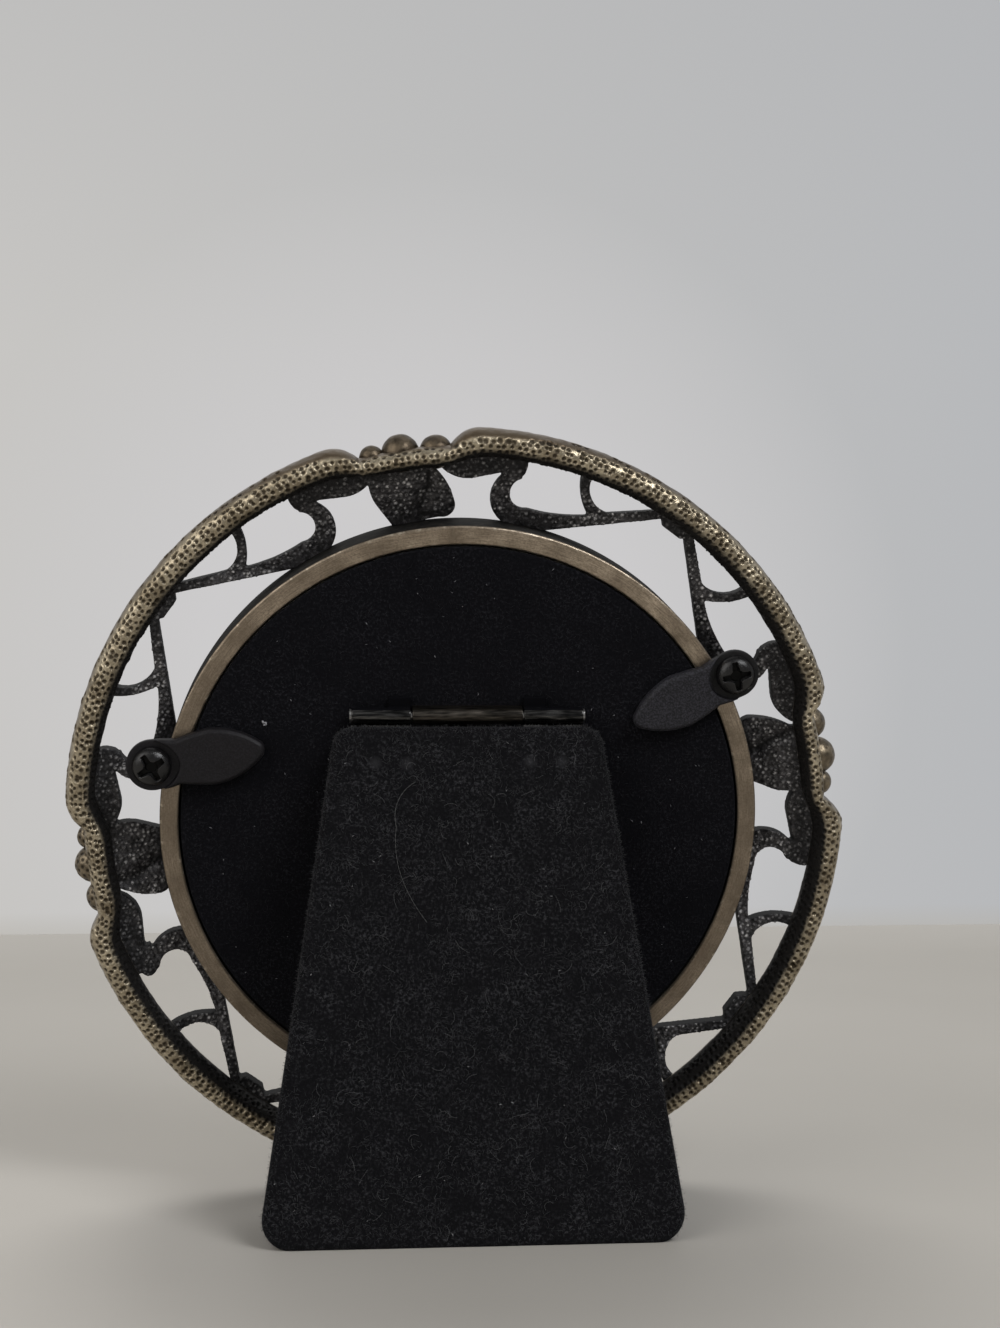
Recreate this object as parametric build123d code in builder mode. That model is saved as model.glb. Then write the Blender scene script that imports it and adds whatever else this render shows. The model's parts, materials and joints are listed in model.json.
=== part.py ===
from build123d import *

import os
from math import cos, radians, sin

# Round openwork photo frame in cast brass, with a velvet back, two turn-buttons and a folding leg.
# It is drawn lying on its face: X to the right and Y up as seen from the back, Z out of the back,
# with Z = 0 on the back of the inner rim. The last section opens the leg and stands the frame up.
# Lengths are millimetres and angles degrees.

# Standing pose
lean_angle = 11.5  # back of the frame from the vertical
leg_angle = 24.0  # opened leg from the back panel
casting_turn = 9.0  # casting turned against the panel and its leg

# Inner rim, which holds the picture
rim_bore_r = 38.1
rim_wall = 2.5
rim_bevel = 0.3
lip_width = 2.5
lip_thickness = 1.4
bezel_rise = 1.0
insert_clearance = 0.3

# Layers inside the rim, from the back forwards
velvet_thickness = 0.6
board_thickness = 2.4
lining_thickness = 0.2
panel_play = 0.2
filler_thickness = 1.4
photo_thickness = 0.4
glass_thickness = 2.0

# Outer ring
band_width = 9.0  # open band between rim and ring
ring_width = 3.8
ring_depth = 5.8
ring_drop = 0.2  # crest of the ring below the rim's back
neck_width = 1.8  # ring where it is notched for the berries
notch_angle = 7.5
shoulder_angle = 11.2
shoulder_swell = 0.7
shoulder_overcut = 0.1

# Scrollwork, a shallow cone from the rim's front edge back to the middle of the ring
scroll_thickness = 2.0
scroll_rim_lap = 1.2  # depth of scroll that runs into the rim's wall
scroll_ring_lap = 1.7  # depth of scroll that runs into the ring
cone_inner_share = -0.2  # ends of the cone, as shares of the band past the rim
cone_outer_share = 1.5
knot_length = 4.2
knot_width = 3.6
knot_corner_r = 0.9
berry_big_r = 2.45
berry_middle_r = 2.05
berry_small_r = 1.7
berry_big_angle = 0.6
berry_middle_angle = -4.8
berry_small_angle = 5.0
berry_seat = 0.9  # centres of berries and knots outside the ring's inner edge
berry_depth = 4.2

# Turn-buttons, their posts and screws
post_r = 3.2
post_reach = 1.6  # post axis outside the rim
post_angle = 20.5
post_depth = 8.0
button_play = 0.15
button_half = 3.65
button_reach = 15.1
button_straight = 7.5
button_tip_half = 1.0
button_tip_round = 0.5
button_eye_thickness = 0.9
button_thickness = 1.7
button_bevel = 0.4
button_left_angle = 8.8
button_right_angle = 206.6
screw_r = 1.2
screw_length = 7.5
screw_head_r = 2.65
screw_head_height = 1.8
screw_head_round = 0.9
screw_play = 0.05
cross_length = 3.6
cross_width = 0.85
cross_depth = 1.1
recess_r = 3.75

# Hinge
hinge_x = 0.6
hinge_y = 15.2
hinge_z = 1.4
hinge_length = 31.0
knuckle_r = 1.1
knuckle_length = 14.8  # middle knuckle
knuckle_gap = 0.2
pin_r = 0.6
pin_play = 0.05
pin_seat = 0.02
pin_head_r = 0.95
pin_head_thickness = 0.25
leaf_thickness = 0.4
leaf_corner_r = 1.5
panel_leaf_height = 7.0
leg_leaf_height = 9.0
leg_leaf_gap = 1.5  # leg leaf starts below the pin axis
stop_width = 3.0
stop_reach = 2.4
stop_thickness = 0.45
stop_play = 0.1
rivet_r = 0.9
rivet_inner = 8.1
rivet_outer = 12.4
panel_rivet_rise = 4.6
leg_rivet_drop = 6.7

# Leg
leg_top_gap = 1.7
leg_top_width = 35.4
leg_foot_width = 54.8
leg_top_corner_r = 2.0
leg_foot_corner_r = 3.8
leg_play = 0.35  # folded leg off the panel
leg_lining_thickness = 0.3
leg_board_thickness = 2.2
leg_velvet_thickness = 0.5

# Sizes that follow from these
rim_r = rim_bore_r + rim_wall
ring_in_r = rim_r + band_width
ring_mid_r = ring_in_r + ring_width / 2
ring_out_r = ring_in_r + ring_width
neck_r = ring_in_r + neck_width
sight_r = rim_bore_r - lip_width
insert_r = rim_bore_r - insert_clearance

board_top = -velvet_thickness
lining_top = board_top - board_thickness
filler_top = lining_top - lining_thickness - panel_play
photo_top = filler_top - filler_thickness
glass_top = photo_top - photo_thickness
lip_top = glass_top - glass_thickness
rim_front = lip_top - lip_thickness

ring_front = -ring_drop - ring_depth
ring_centre_z = -ring_drop - ring_depth / 2
scroll_rim_back = rim_front + scroll_rim_lap
scroll_ring_back = ring_front + scroll_ring_lap
scroll_depth = scroll_thickness - min(scroll_rim_back, scroll_ring_back)

button_foot = button_play
button_seat = button_foot + button_eye_thickness + button_play
post_axis_r = rim_r + post_reach

leg_foot_z = leg_play
leg_board_z = leg_foot_z + leg_lining_thickness
leg_thickness = leg_lining_thickness + leg_board_thickness + leg_velvet_thickness
leg_slope = leg_angle - lean_angle

casting_plane = Plane.XY.rotated((0, 0, casting_turn))


def spot(angle, share):
    """Point in the band at an angle from the motif's axis: share 0 on the rim, 1 on the ring."""
    radius = rim_r + share * band_width
    return (radius * sin(radians(angle)), radius * cos(radians(angle)))


def on_circle(radius, angle):
    """Point on a circle, at an angle from the motif's axis."""
    return (radius * sin(radians(angle)), radius * cos(radians(angle)))


# Plan of half a motif: a C-curl on the rim that runs on as a straight sweep to the ring,
# its strut, and the leaf pad on the ring above the head of the scroll
with BuildSketch() as half_motif:
    with BuildLine():
        ThreePointArc(spot(15.6, 0.73), spot(14.1, 0.32), spot(17.8, -0.04))
        Line(spot(17.8, -0.04), spot(24.2, -0.03))
        Line(spot(24.2, -0.03), spot(45.4, 1.23))
        Line(spot(45.4, 1.23), spot(44.4, 1.3))
        Line(spot(44.4, 1.3), spot(34.3, 0.61))
        ThreePointArc(spot(34.3, 0.61), spot(27.4, 0.32), spot(21.0, 0.27))
        ThreePointArc(spot(21.0, 0.27), spot(17.4, 0.41), spot(18.9, 0.72))
        Line(spot(18.9, 0.72), spot(15.6, 0.73))
    make_face()
    with BuildLine():
        ThreePointArc(spot(27.6, 1.16), spot(28.5, 0.8), spot(32.2, 0.42))
        Line(spot(32.2, 0.42), spot(36.0, 0.66))
        ThreePointArc(spot(36.0, 0.66), spot(29.9, 0.83), spot(29.7, 1.15))
        Line(spot(29.7, 1.15), spot(27.6, 1.16))
    make_face()
    with BuildLine():
        Line(spot(5.4, 1.1), spot(5.6, 0.79))
        ThreePointArc(spot(5.6, 0.79), spot(7.8, 0.66), spot(10.7, 0.64))
        Line(spot(10.7, 0.64), spot(15.4, 0.76))
        Line(spot(15.4, 0.76), spot(15.6, 0.68))
        Line(spot(15.6, 0.68), spot(18.6, 0.74))
        ThreePointArc(spot(18.6, 0.74), spot(19.3, 0.92), spot(18.5, 1.1))
        Line(spot(18.5, 1.1), spot(11.5, 1.1))
        Line(spot(11.5, 1.1), spot(5.4, 1.1))
    make_face()

# Plan of the petal between the two leaf pads of a motif, with a lobe on one side
with BuildSketch() as petal:
    with BuildLine():
        ThreePointArc(spot(-5.6, 1.1), spot(-6.6, 0.52), spot(-4.1, -0.04))
        Line(spot(-4.1, -0.04), spot(4.3, -0.04))
        ThreePointArc(spot(4.3, -0.04), spot(7.4, 0.2), spot(7.1, 0.51))
        Line(spot(7.1, 0.51), spot(4.8, 1.1))
        Line(spot(4.8, 1.1), spot(-5.6, 1.1))
    make_face()

# Notch in the ring behind the berries, between two shoulders
with BuildSketch() as notch:
    shoulder = on_circle(ring_out_r + shoulder_overcut, shoulder_angle)
    swell = on_circle(ring_out_r - shoulder_swell, (shoulder_angle + notch_angle) / 2)
    notch_foot = on_circle(neck_r, notch_angle)
    outside = on_circle(ring_out_r + ring_width, shoulder_angle)
    with BuildLine():
        ThreePointArc(shoulder, swell, notch_foot)
        Line(shoulder, outside)
        Line(outside, (0, outside[1]))
        Line((0, outside[1]), (0, neck_r))
        ThreePointArc((0, neck_r), on_circle(neck_r, notch_angle / 2), notch_foot)
    make_face()
    mirror(about=Plane.YZ)

# Scrollwork: the plan of four motifs, alternately mirrored, cut out of the cone
with BuildPart() as scrollwork:
    with BuildSketch(casting_plane):
        with PolarLocations(0, 4):
            add(half_motif.sketch)
            add(mirror(half_motif.sketch, about=Plane.YZ, mode=Mode.PRIVATE))
        with PolarLocations(0, 2):
            add(petal.sketch)
        with PolarLocations(0, 2, start_angle=90):
            add(mirror(petal.sketch, about=Plane.YZ, mode=Mode.PRIVATE))
        with PolarLocations(ring_in_r + berry_seat, 4, start_angle=45):
            RectangleRounded(knot_length, knot_width, knot_corner_r)
    extrude(amount=-scroll_depth)
    with BuildSketch(Plane.XZ):
        with BuildLine():
            cone = Line((rim_r, scroll_rim_back), (ring_in_r, scroll_ring_back), mode=Mode.PRIVATE)
            cone_start = cone @ cone_inner_share
            cone_end = cone @ cone_outer_share
            Polyline(
                cone_start,
                cone_end,
                cone_end - Vector(0, scroll_thickness),
                cone_start - Vector(0, scroll_thickness),
                close=True,
            )
        make_face()
    revolve(axis=Axis.Z, mode=Mode.INTERSECT)

# Casting: rim, ring, scrollwork, berries and the two screw posts in one piece
with BuildPart() as cast_frame:
    with BuildSketch(Plane.XZ):
        with Locations((ring_mid_r, ring_centre_z)):
            Ellipse(ring_width / 2, ring_depth / 2)
    revolve(axis=Axis.Z)
    with BuildSketch(casting_plane.offset(ring_front)):
        with PolarLocations(0, 4):
            add(notch.sketch)
    extrude(amount=ring_depth, mode=Mode.SUBTRACT)
    add(scrollwork.part)
    for hand, start in ((1, 0), (-1, 90)):
        for berry_r, berry_angle in (
            (berry_big_r, berry_big_angle),
            (berry_middle_r, berry_middle_angle),
            (berry_small_r, berry_small_angle),
        ):
            with Locations(casting_plane.offset(-berry_depth)):
                with PolarLocations(ring_in_r + berry_seat, 2, start_angle=90 + start + hand * berry_angle):
                    Sphere(berry_r)
    with BuildSketch(Plane.XZ):
        with BuildLine():
            Polyline(
                (sight_r, lip_top),
                (rim_bore_r, lip_top),
                (rim_bore_r, -rim_bevel),
                (rim_bore_r + rim_bevel, 0),
                (rim_r - rim_bevel, 0),
                (rim_r, -rim_bevel),
                (rim_r, rim_front),
            )
            ThreePointArc(
                (rim_r, rim_front),
                (rim_bore_r, rim_front - bezel_rise),
                (sight_r, rim_front + lip_thickness / 2),
            )
            Line((sight_r, rim_front + lip_thickness / 2), (sight_r, lip_top))
        make_face()
    revolve(axis=Axis.Z)
    with Locations(casting_plane):
        for post_at in (post_angle, 180 - post_angle):
            with PolarLocations(post_axis_r, 1, start_angle=post_at):
                Cylinder(post_r, post_depth, align=(Align.CENTER, Align.CENTER, Align.MAX))
    with Locations((0, 0, lip_top)):
        Cylinder(rim_bore_r, -lip_top, align=(Align.CENTER, Align.CENTER, Align.MIN), mode=Mode.SUBTRACT)
    with Locations(casting_plane):
        for post_at in (post_angle, 180 - post_angle):
            with PolarLocations(post_axis_r, 1, start_angle=post_at):
                Hole(screw_r + pin_seat, screw_length)


def disc(radius, top, thickness):
    """Round layer of the picture stack, given by its back face."""
    with BuildPart() as layer:
        with BuildSketch(Plane.XY.offset(top)):
            Circle(radius)
        extrude(amount=-thickness)
    return layer


glazing = disc(insert_r, glass_top, glass_thickness)
photo_insert = disc(insert_r, photo_top, photo_thickness)
filler_card = disc(insert_r, filler_top, filler_thickness)
back_lining = disc(insert_r, lining_top, lining_thickness)

# Back panel: board, velvet and the hinge leaf that is let into the board under the velvet
tab_top = hinge_y + knuckle_r
leaf_top = tab_top + panel_leaf_height
panel_rivet_y = tab_top + panel_rivet_rise

with BuildSketch(Plane.XY.offset(board_top)) as panel_leaf_plan:
    with Locations((hinge_x, (tab_top - leaf_thickness + leaf_top) / 2)):
        RectangleRounded(hinge_length, panel_leaf_height + leaf_thickness, leaf_corner_r)

with BuildSketch(Plane.XY.offset(board_top)) as panel_rivet_plan:
    with Locations((hinge_x, panel_rivet_y)):
        with Locations((-rivet_outer, 0), (-rivet_inner, 0), (rivet_inner, 0), (rivet_outer, 0)):
            Circle(rivet_r)

with BuildPart() as back_board:
    with BuildSketch(Plane.XY.offset(board_top)):
        Circle(insert_r)
    extrude(amount=-board_thickness)
    extrude(panel_leaf_plan.sketch, amount=-leaf_thickness, mode=Mode.SUBTRACT)
    extrude(panel_rivet_plan.sketch, amount=-board_thickness, mode=Mode.SUBTRACT)

with BuildPart() as back_velvet:
    with BuildSketch():
        Circle(insert_r)
        with Locations((hinge_x, tab_top - leaf_thickness / 2)):
            Rectangle(knuckle_length, leaf_thickness, mode=Mode.SUBTRACT)
    extrude(amount=-velvet_thickness)

with BuildPart() as hinge_panel_leaf:
    extrude(panel_leaf_plan.sketch, amount=-leaf_thickness)
    with BuildSketch(Plane.XY.offset(board_top - leaf_thickness)):
        with Locations((hinge_x, tab_top - leaf_thickness / 2)):
            Rectangle(knuckle_length, leaf_thickness)
    extrude(amount=hinge_z - board_top + leaf_thickness)
    with BuildSketch(Plane.YZ.offset(hinge_x - knuckle_length / 2)):
        with Locations((hinge_y, hinge_z)):
            Circle(knuckle_r)
    extrude(amount=knuckle_length)
    with BuildSketch(Plane.YZ.offset(hinge_x - knuckle_length / 2)):
        with Locations((hinge_y, hinge_z)):
            Circle(pin_r + pin_play)
    extrude(amount=knuckle_length, mode=Mode.SUBTRACT)
    extrude(panel_rivet_plan.sketch, amount=-leaf_thickness, mode=Mode.SUBTRACT)

with BuildPart() as panel_rivets:
    extrude(panel_rivet_plan.sketch, amount=-board_thickness)

# Turn-buttons: an eye under the screw's head and a raised leaf-shaped blade
left_post = on_circle(post_axis_r, 90 - (180 - post_angle + casting_turn))
right_post = on_circle(post_axis_r, 90 - (post_angle + casting_turn))


def button_plane(post, angle):
    """Plane of a button's underside, with X along its blade."""
    heading = (cos(radians(angle)), sin(radians(angle)), 0)
    return Plane(origin=(post[0], post[1], button_foot), x_dir=heading, z_dir=(0, 0, 1))


with BuildSketch() as button_plan:
    with BuildLine():
        Line((0, button_half), (button_straight, button_half))
        side = TangentArc(
            (button_straight, button_half),
            (button_reach - button_tip_round, button_tip_half),
            tangent=(1, 0),
        )
        ThreePointArc(side @ 1, (button_reach, 0), (button_reach - button_tip_round, -button_tip_half))
        mirror(side, about=Plane.XZ)
        Line((button_straight, -button_half), (0, -button_half))
        ThreePointArc((0, -button_half), (-button_half, 0), (0, button_half))
    make_face()


def turn_button(plane):
    """Turn-button lying on its plane, with the hole for its screw."""
    with BuildPart() as button:
        with BuildSketch(plane):
            add(button_plan.sketch)
        extrude(amount=button_thickness)
        upper = plane.offset(button_thickness)
        chamfer(button.faces().sort_by(Axis.Z)[-1].edges(), button_bevel)
        with BuildSketch(upper):
            Circle(recess_r)
        extrude(amount=button_eye_thickness - button_thickness, mode=Mode.SUBTRACT)
        with BuildSketch(plane):
            Circle(screw_r + screw_play)
        extrude(amount=button_thickness, mode=Mode.SUBTRACT)
    return button


def turn_screw(post):
    """Pan-head screw with a cross recess, through the button's eye into its post."""
    seat = Plane.XY.offset(button_seat)
    with BuildPart() as screw:
        with BuildSketch(seat):
            with Locations(post):
                Circle(screw_head_r)
        extrude(amount=screw_head_height)
        fillet(screw.faces().sort_by(Axis.Z)[-1].edges(), screw_head_round)
        with BuildSketch(seat.offset(screw_head_height)):
            with Locations(post):
                Rectangle(cross_length, cross_width)
                Rectangle(cross_width, cross_length)
        extrude(amount=-cross_depth, mode=Mode.SUBTRACT)
        with BuildSketch(seat):
            with Locations(post):
                Circle(screw_r)
        extrude(amount=-screw_length)
    return screw


turn_button_left = turn_button(button_plane(left_post, button_left_angle))
turn_button_right = turn_button(button_plane(right_post, button_right_angle))
turn_screw_left = turn_screw(left_post)
turn_screw_right = turn_screw(right_post)

# Standing: the casting's lowest point and the leg's foot meet the table
tilt = Rot(90 + lean_angle, 0, 0)
lowest = (tilt * cast_frame.part).bounding_box().min.Z
pin_height = hinge_y * cos(radians(lean_angle)) - hinge_z * sin(radians(lean_angle)) - lowest

# Leg, drawn folded on the panel, with its foot cut to lie flat on the table when it is open
foot_normal = Vector(0, -cos(radians(leg_slope)), -sin(radians(leg_slope)))
pin_point = Vector(hinge_x, hinge_y, hinge_z)
foot_plane = Plane(origin=pin_point + foot_normal * pin_height, x_dir=(1, 0, 0), z_dir=foot_normal)
core_plane = foot_plane.offset(-leg_velvet_thickness)
leg_back_drop = leg_foot_z + leg_thickness - hinge_z
leg_length = (pin_height + leg_back_drop * sin(radians(leg_slope))) / cos(radians(leg_slope))
leg_top_y = hinge_y - leg_top_gap
leg_end_y = hinge_y - leg_length

with BuildSketch(Plane.XY.offset(leg_foot_z)) as leg_plan:
    with BuildLine():
        Polyline(
            (hinge_x - leg_top_width / 2, leg_top_y),
            (hinge_x + leg_top_width / 2, leg_top_y),
            (hinge_x + leg_foot_width / 2, leg_end_y),
            (hinge_x - leg_foot_width / 2, leg_end_y),
            close=True,
        )
    make_face()
    fillet(leg_plan.vertices().group_by(Axis.Y)[-1], leg_top_corner_r)
    fillet(leg_plan.vertices().group_by(Axis.Y)[0], leg_foot_corner_r)

with BuildSketch(Plane.XY.offset(leg_foot_z)) as core_plan:
    add(leg_plan.sketch)
    offset(amount=-leg_velvet_thickness, mode=Mode.REPLACE)

outer_knuckle = (hinge_length - knuckle_length) / 2 - knuckle_gap
outer_knuckle_at = (hinge_length - outer_knuckle) / 2
leg_leaf_top = hinge_y - leg_leaf_gap

with BuildSketch(Plane.XY.offset(leg_board_z)) as leg_leaf_plan:
    with Locations((hinge_x, leg_leaf_top - leg_leaf_height / 2)):
        RectangleRounded(hinge_length, leg_leaf_height, leaf_corner_r)
    with Locations((hinge_x, leg_leaf_top)):
        with GridLocations(2 * outer_knuckle_at, 0, 2, 1):
            Rectangle(outer_knuckle, 2 * (leg_leaf_gap - pin_r))

with BuildSketch(Plane.XY.offset(leg_board_z)) as leg_rivet_plan:
    with Locations((hinge_x, hinge_y - leg_rivet_drop)):
        with Locations((-rivet_outer, 0), (-rivet_inner, 0), (rivet_inner, 0), (rivet_outer, 0)):
            Circle(rivet_r)

with BuildPart() as leg_lining:
    extrude(core_plan.sketch, amount=leg_lining_thickness)
    split(bisect_by=core_plane, keep=Keep.BOTTOM)

with BuildPart() as leg_board:
    extrude(core_plan.sketch.moved(Pos(0, 0, leg_lining_thickness)), amount=leg_board_thickness)
    split(bisect_by=core_plane, keep=Keep.BOTTOM)
    extrude(leg_leaf_plan.sketch, amount=leaf_thickness, mode=Mode.SUBTRACT)
    extrude(leg_rivet_plan.sketch, amount=leg_board_thickness, mode=Mode.SUBTRACT)

with BuildPart() as leg_core:
    extrude(core_plan.sketch, amount=leg_lining_thickness + leg_board_thickness)
    split(bisect_by=core_plane, keep=Keep.BOTTOM)

with BuildPart() as leg_velvet:
    extrude(leg_plan.sketch, amount=leg_thickness)
    split(bisect_by=foot_plane, keep=Keep.BOTTOM)
    add(leg_core.part, mode=Mode.SUBTRACT)
    extrude(leg_leaf_plan.sketch, amount=leaf_thickness, mode=Mode.SUBTRACT)

with BuildPart() as leg_rivets:
    extrude(leg_rivet_plan.sketch, amount=leg_board_thickness)

# Leg leaf: plate in the leg, an outer knuckle at each end, and a stop that lands on the panel
stop_plane = Plane(
    origin=pin_point,
    x_dir=(1, 0, 0),
    z_dir=(0, -sin(radians(leg_angle)), cos(radians(leg_angle))),
)
with BuildPart() as hinge_leg_leaf:
    extrude(leg_leaf_plan.sketch, amount=leaf_thickness)
    for side in (-1, 1):
        knuckle_start = hinge_x + side * outer_knuckle_at - outer_knuckle / 2
        with BuildSketch(Plane.YZ.offset(knuckle_start)):
            with Locations((hinge_y, hinge_z)):
                Circle(knuckle_r)
        extrude(amount=outer_knuckle)
    with BuildSketch(stop_plane.offset(stop_play - hinge_z)):
        with GridLocations(2 * outer_knuckle_at - outer_knuckle + stop_width, 0, 2, 1):
            with Locations((0, stop_reach / 2)):
                Rectangle(stop_width, stop_reach)
    extrude(amount=stop_thickness)
    with BuildSketch(Plane.YZ.offset(hinge_x - hinge_length / 2)):
        with Locations((hinge_y, hinge_z)):
            Circle(pin_r + pin_seat)
    extrude(amount=hinge_length, mode=Mode.SUBTRACT)
    extrude(leg_rivet_plan.sketch, amount=leaf_thickness, mode=Mode.SUBTRACT)

with BuildPart() as hinge_pin:
    with BuildSketch(Plane.YZ.offset(hinge_x - hinge_length / 2)):
        with Locations((hinge_y, hinge_z)):
            Circle(pin_r)
    extrude(amount=hinge_length)
    with BuildSketch(Plane.YZ.offset(hinge_x - hinge_length / 2)):
        with Locations((hinge_y, hinge_z)):
            Circle(pin_head_r)
    extrude(amount=-pin_head_thickness)
    with BuildSketch(Plane.YZ.offset(hinge_x + hinge_length / 2)):
        with Locations((hinge_y, hinge_z)):
            Circle(pin_head_r)
    extrude(amount=pin_head_thickness)

# Placing: open the leg about its pin, stand everything up and centre it over the origin
opened = Pos(*pin_point) * Rot(-leg_angle, 0, 0) * Pos(*(-pin_point))
front_y = (tilt * cast_frame.part).bounding_box().max.Y
leg_y = (tilt * opened * leg_velvet.part).bounding_box().min.Y
standing = Pos(0, -(front_y + leg_y) / 2, -lowest) * tilt
leg_standing = standing * opened

pieces = [
    ("cast_frame", cast_frame, standing),
    ("glazing", glazing, standing),
    ("photo_insert", photo_insert, standing),
    ("filler_card", filler_card, standing),
    ("turn_screw_left", turn_screw_left, standing),
    ("turn_screw_right", turn_screw_right, standing),
    ("turn_button_left", turn_button_left, standing),
    ("turn_button_right", turn_button_right, standing),
    ("back_lining", back_lining, standing),
    ("back_board", back_board, standing),
    ("back_velvet", back_velvet, standing),
    ("hinge_panel_leaf", hinge_panel_leaf, standing),
    ("panel_rivets", panel_rivets, standing),
    ("hinge_pin", hinge_pin, leg_standing),
    ("hinge_leg_leaf", hinge_leg_leaf, leg_standing),
    ("leg_rivets", leg_rivets, leg_standing),
    ("leg_lining", leg_lining, leg_standing),
    ("leg_board", leg_board, leg_standing),
    ("leg_velvet", leg_velvet, leg_standing),
]

os.makedirs("parts", exist_ok=True)
for name, piece, place in pieces:
    piece.part.label = name
    piece.part.move(place)
    export_step(piece.part, f"parts/{name}.step")


# Places that the record needs, in the standing frame
def told(label, point, direction, place):
    """Print a point and a direction of the drawn frame as they stand."""
    turn = Location((0, 0, 0), place.orientation)
    at = (place * Pos(*point)).position
    along = (turn * Pos(*direction)).position
    print(label, [round(value / 1000, 6) for value in at], [round(value, 6) for value in along])


told("panel axis", Vector(0, 0, 0), Vector(0, 0, 1), standing)
told("leg pin", pin_point, Vector(1, 0, 0), standing)
told("left button", Vector(*left_post, 0), Vector(0, 0, 1), standing)
told("right button", Vector(*right_post, 0), Vector(0, 0, 1), standing)
foot_rise = leg_foot_z + leg_thickness / 2 - hinge_z
foot_drop = (pin_height + foot_rise * sin(radians(leg_slope))) / cos(radians(leg_slope))
told("foot", pin_point + Vector(0, -foot_drop, foot_rise), foot_normal, leg_standing)
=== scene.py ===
import json
from math import acos, ceil, cos, pi, radians, sin, sqrt

import bmesh
import bpy
import numpy as np
from mathutils import Matrix, Vector, kdtree, noise


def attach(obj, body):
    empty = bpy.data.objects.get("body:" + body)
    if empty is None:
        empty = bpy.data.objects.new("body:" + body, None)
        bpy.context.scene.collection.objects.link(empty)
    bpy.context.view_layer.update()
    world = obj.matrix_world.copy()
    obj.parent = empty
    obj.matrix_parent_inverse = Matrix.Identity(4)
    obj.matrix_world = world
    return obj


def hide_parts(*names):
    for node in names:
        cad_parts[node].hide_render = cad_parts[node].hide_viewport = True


# Looks of the round openwork photo frame, seen from its back.
# Shapes are drawn in millimetres on the back panel: X right, Y up, Z out of the back, with the
# origin at the panel's centre in the plane of the rim's back. Angles are degrees unless they say so.

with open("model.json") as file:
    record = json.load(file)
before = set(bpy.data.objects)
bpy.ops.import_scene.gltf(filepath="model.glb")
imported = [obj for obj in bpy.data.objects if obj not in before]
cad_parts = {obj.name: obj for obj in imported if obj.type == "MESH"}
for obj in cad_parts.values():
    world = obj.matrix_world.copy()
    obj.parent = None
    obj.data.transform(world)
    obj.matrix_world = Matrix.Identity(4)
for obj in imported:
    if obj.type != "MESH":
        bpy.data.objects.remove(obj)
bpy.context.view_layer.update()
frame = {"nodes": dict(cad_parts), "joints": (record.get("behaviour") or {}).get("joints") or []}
joints = {joint["name"]: joint for joint in frame["joints"]}

MM = 0.001

# Body, slot and node of the casting's pieces
CASTING = ("frame", "antique_brass", "cast_frame")
CASTING_TURN = 9.0

# The four motifs of the casting, top, left, bottom and right, sit a little off their quarters
MOTIF_TURN = (0.0, -0.8, 0.0, 1.0)
LOWER_LEFT_CURL_TURN = 0.4

# Inner rim
RIM_BORE_R = 38.1
RIM_R = 40.6
RIM_BEVEL = 0.3
RIM_FRONT = -8.6
RIM_DENT = 0.18
RIM_COLUMNS = 720
RIM_STRIPS = 4
LIP_TOP = -7.2
LIP_STEP = 1.2
SIGHT_R = 35.6
BEZEL_RISE = 1.0

# How far the rim's back is darkened, by angle: painted shade where the brushed brass catches less light
RIM_SHADE_ANGLES = (0, 25, 50, 75, 100, 140, 180, 230, 310, 360)
RIM_SHADE = (0.62, 0.35, 0.0, 0.05, 0.1, 0.35, 0.65, 0.5, 0.45, 0.62)

# Openwork band and outer ring
BAND_WIDTH = 9.0
RING_IN_R = RIM_R + BAND_WIDTH
RING_WIDTH = 3.8
RING_OUT_R = RING_IN_R + RING_WIDTH
RING_DEPTH = 5.8
RING_CENTRE_Z = -3.1
RING_SQUARENESS = 0.9
RING_COLUMNS = 2400
RING_BACK_ROWS = 54
RING_FRONT_ROWS = 18
RING_STRIPS = 5
RING_WAVE = 0.09
RING_RIPPLE = 0.05
NECK_R = (RING_IN_R + 1.4, RING_IN_R + 1.4, RING_IN_R + 1.4, RING_IN_R + 1.1)
NECK_BOW = (1.3, 2.1, 1.3, 1.8)
BOW_ANGLE = 4.5
BOW_FADE = 8.5
NOTCH_ANGLE = 6.9
SHOULDER_ANGLE = 11.3

# Dimples on the back of the ring. The shift is a share of the pitch and the lip's height of the depth.
# The reach and the lip's place and width are shares of the radius
DIMPLE_ROWS = 6
DIMPLE_INSET = 0.28
DIMPLE_ROW = 0.68
DIMPLE_PITCH = 0.98
DIMPLE_MARGIN = 0.08
DIMPLE_SHIFT = 0.24
DIMPLE_STRAY = 0.14
DIMPLE_R = (0.30, 0.46)
DIMPLE_DEPTH = (0.12, 0.28)
DIMPLE_REACH = 1.6
DIMPLE_LIP = 0.3
DIMPLE_LIP_AT = 1.05
DIMPLE_LIP_WIDTH = 0.25
HOLLOW_POWER = 1.2
WALL_DIMPLES = (173, 160)
WALL_DIMPLE_STRAY = 3

# Middle, reach and fade of the angles where the ring's outer side is smooth and where dimples are big
SMOOTH_TOP = (96, 12, 11)
SMOOTH_TOP_MARGIN = 1.1
SMOOTH_NECK_SHARE = 0.15
BIG_DIMPLES = (86, 10, 14)
BIG_DIMPLE_GROWTH = 0.22
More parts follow.
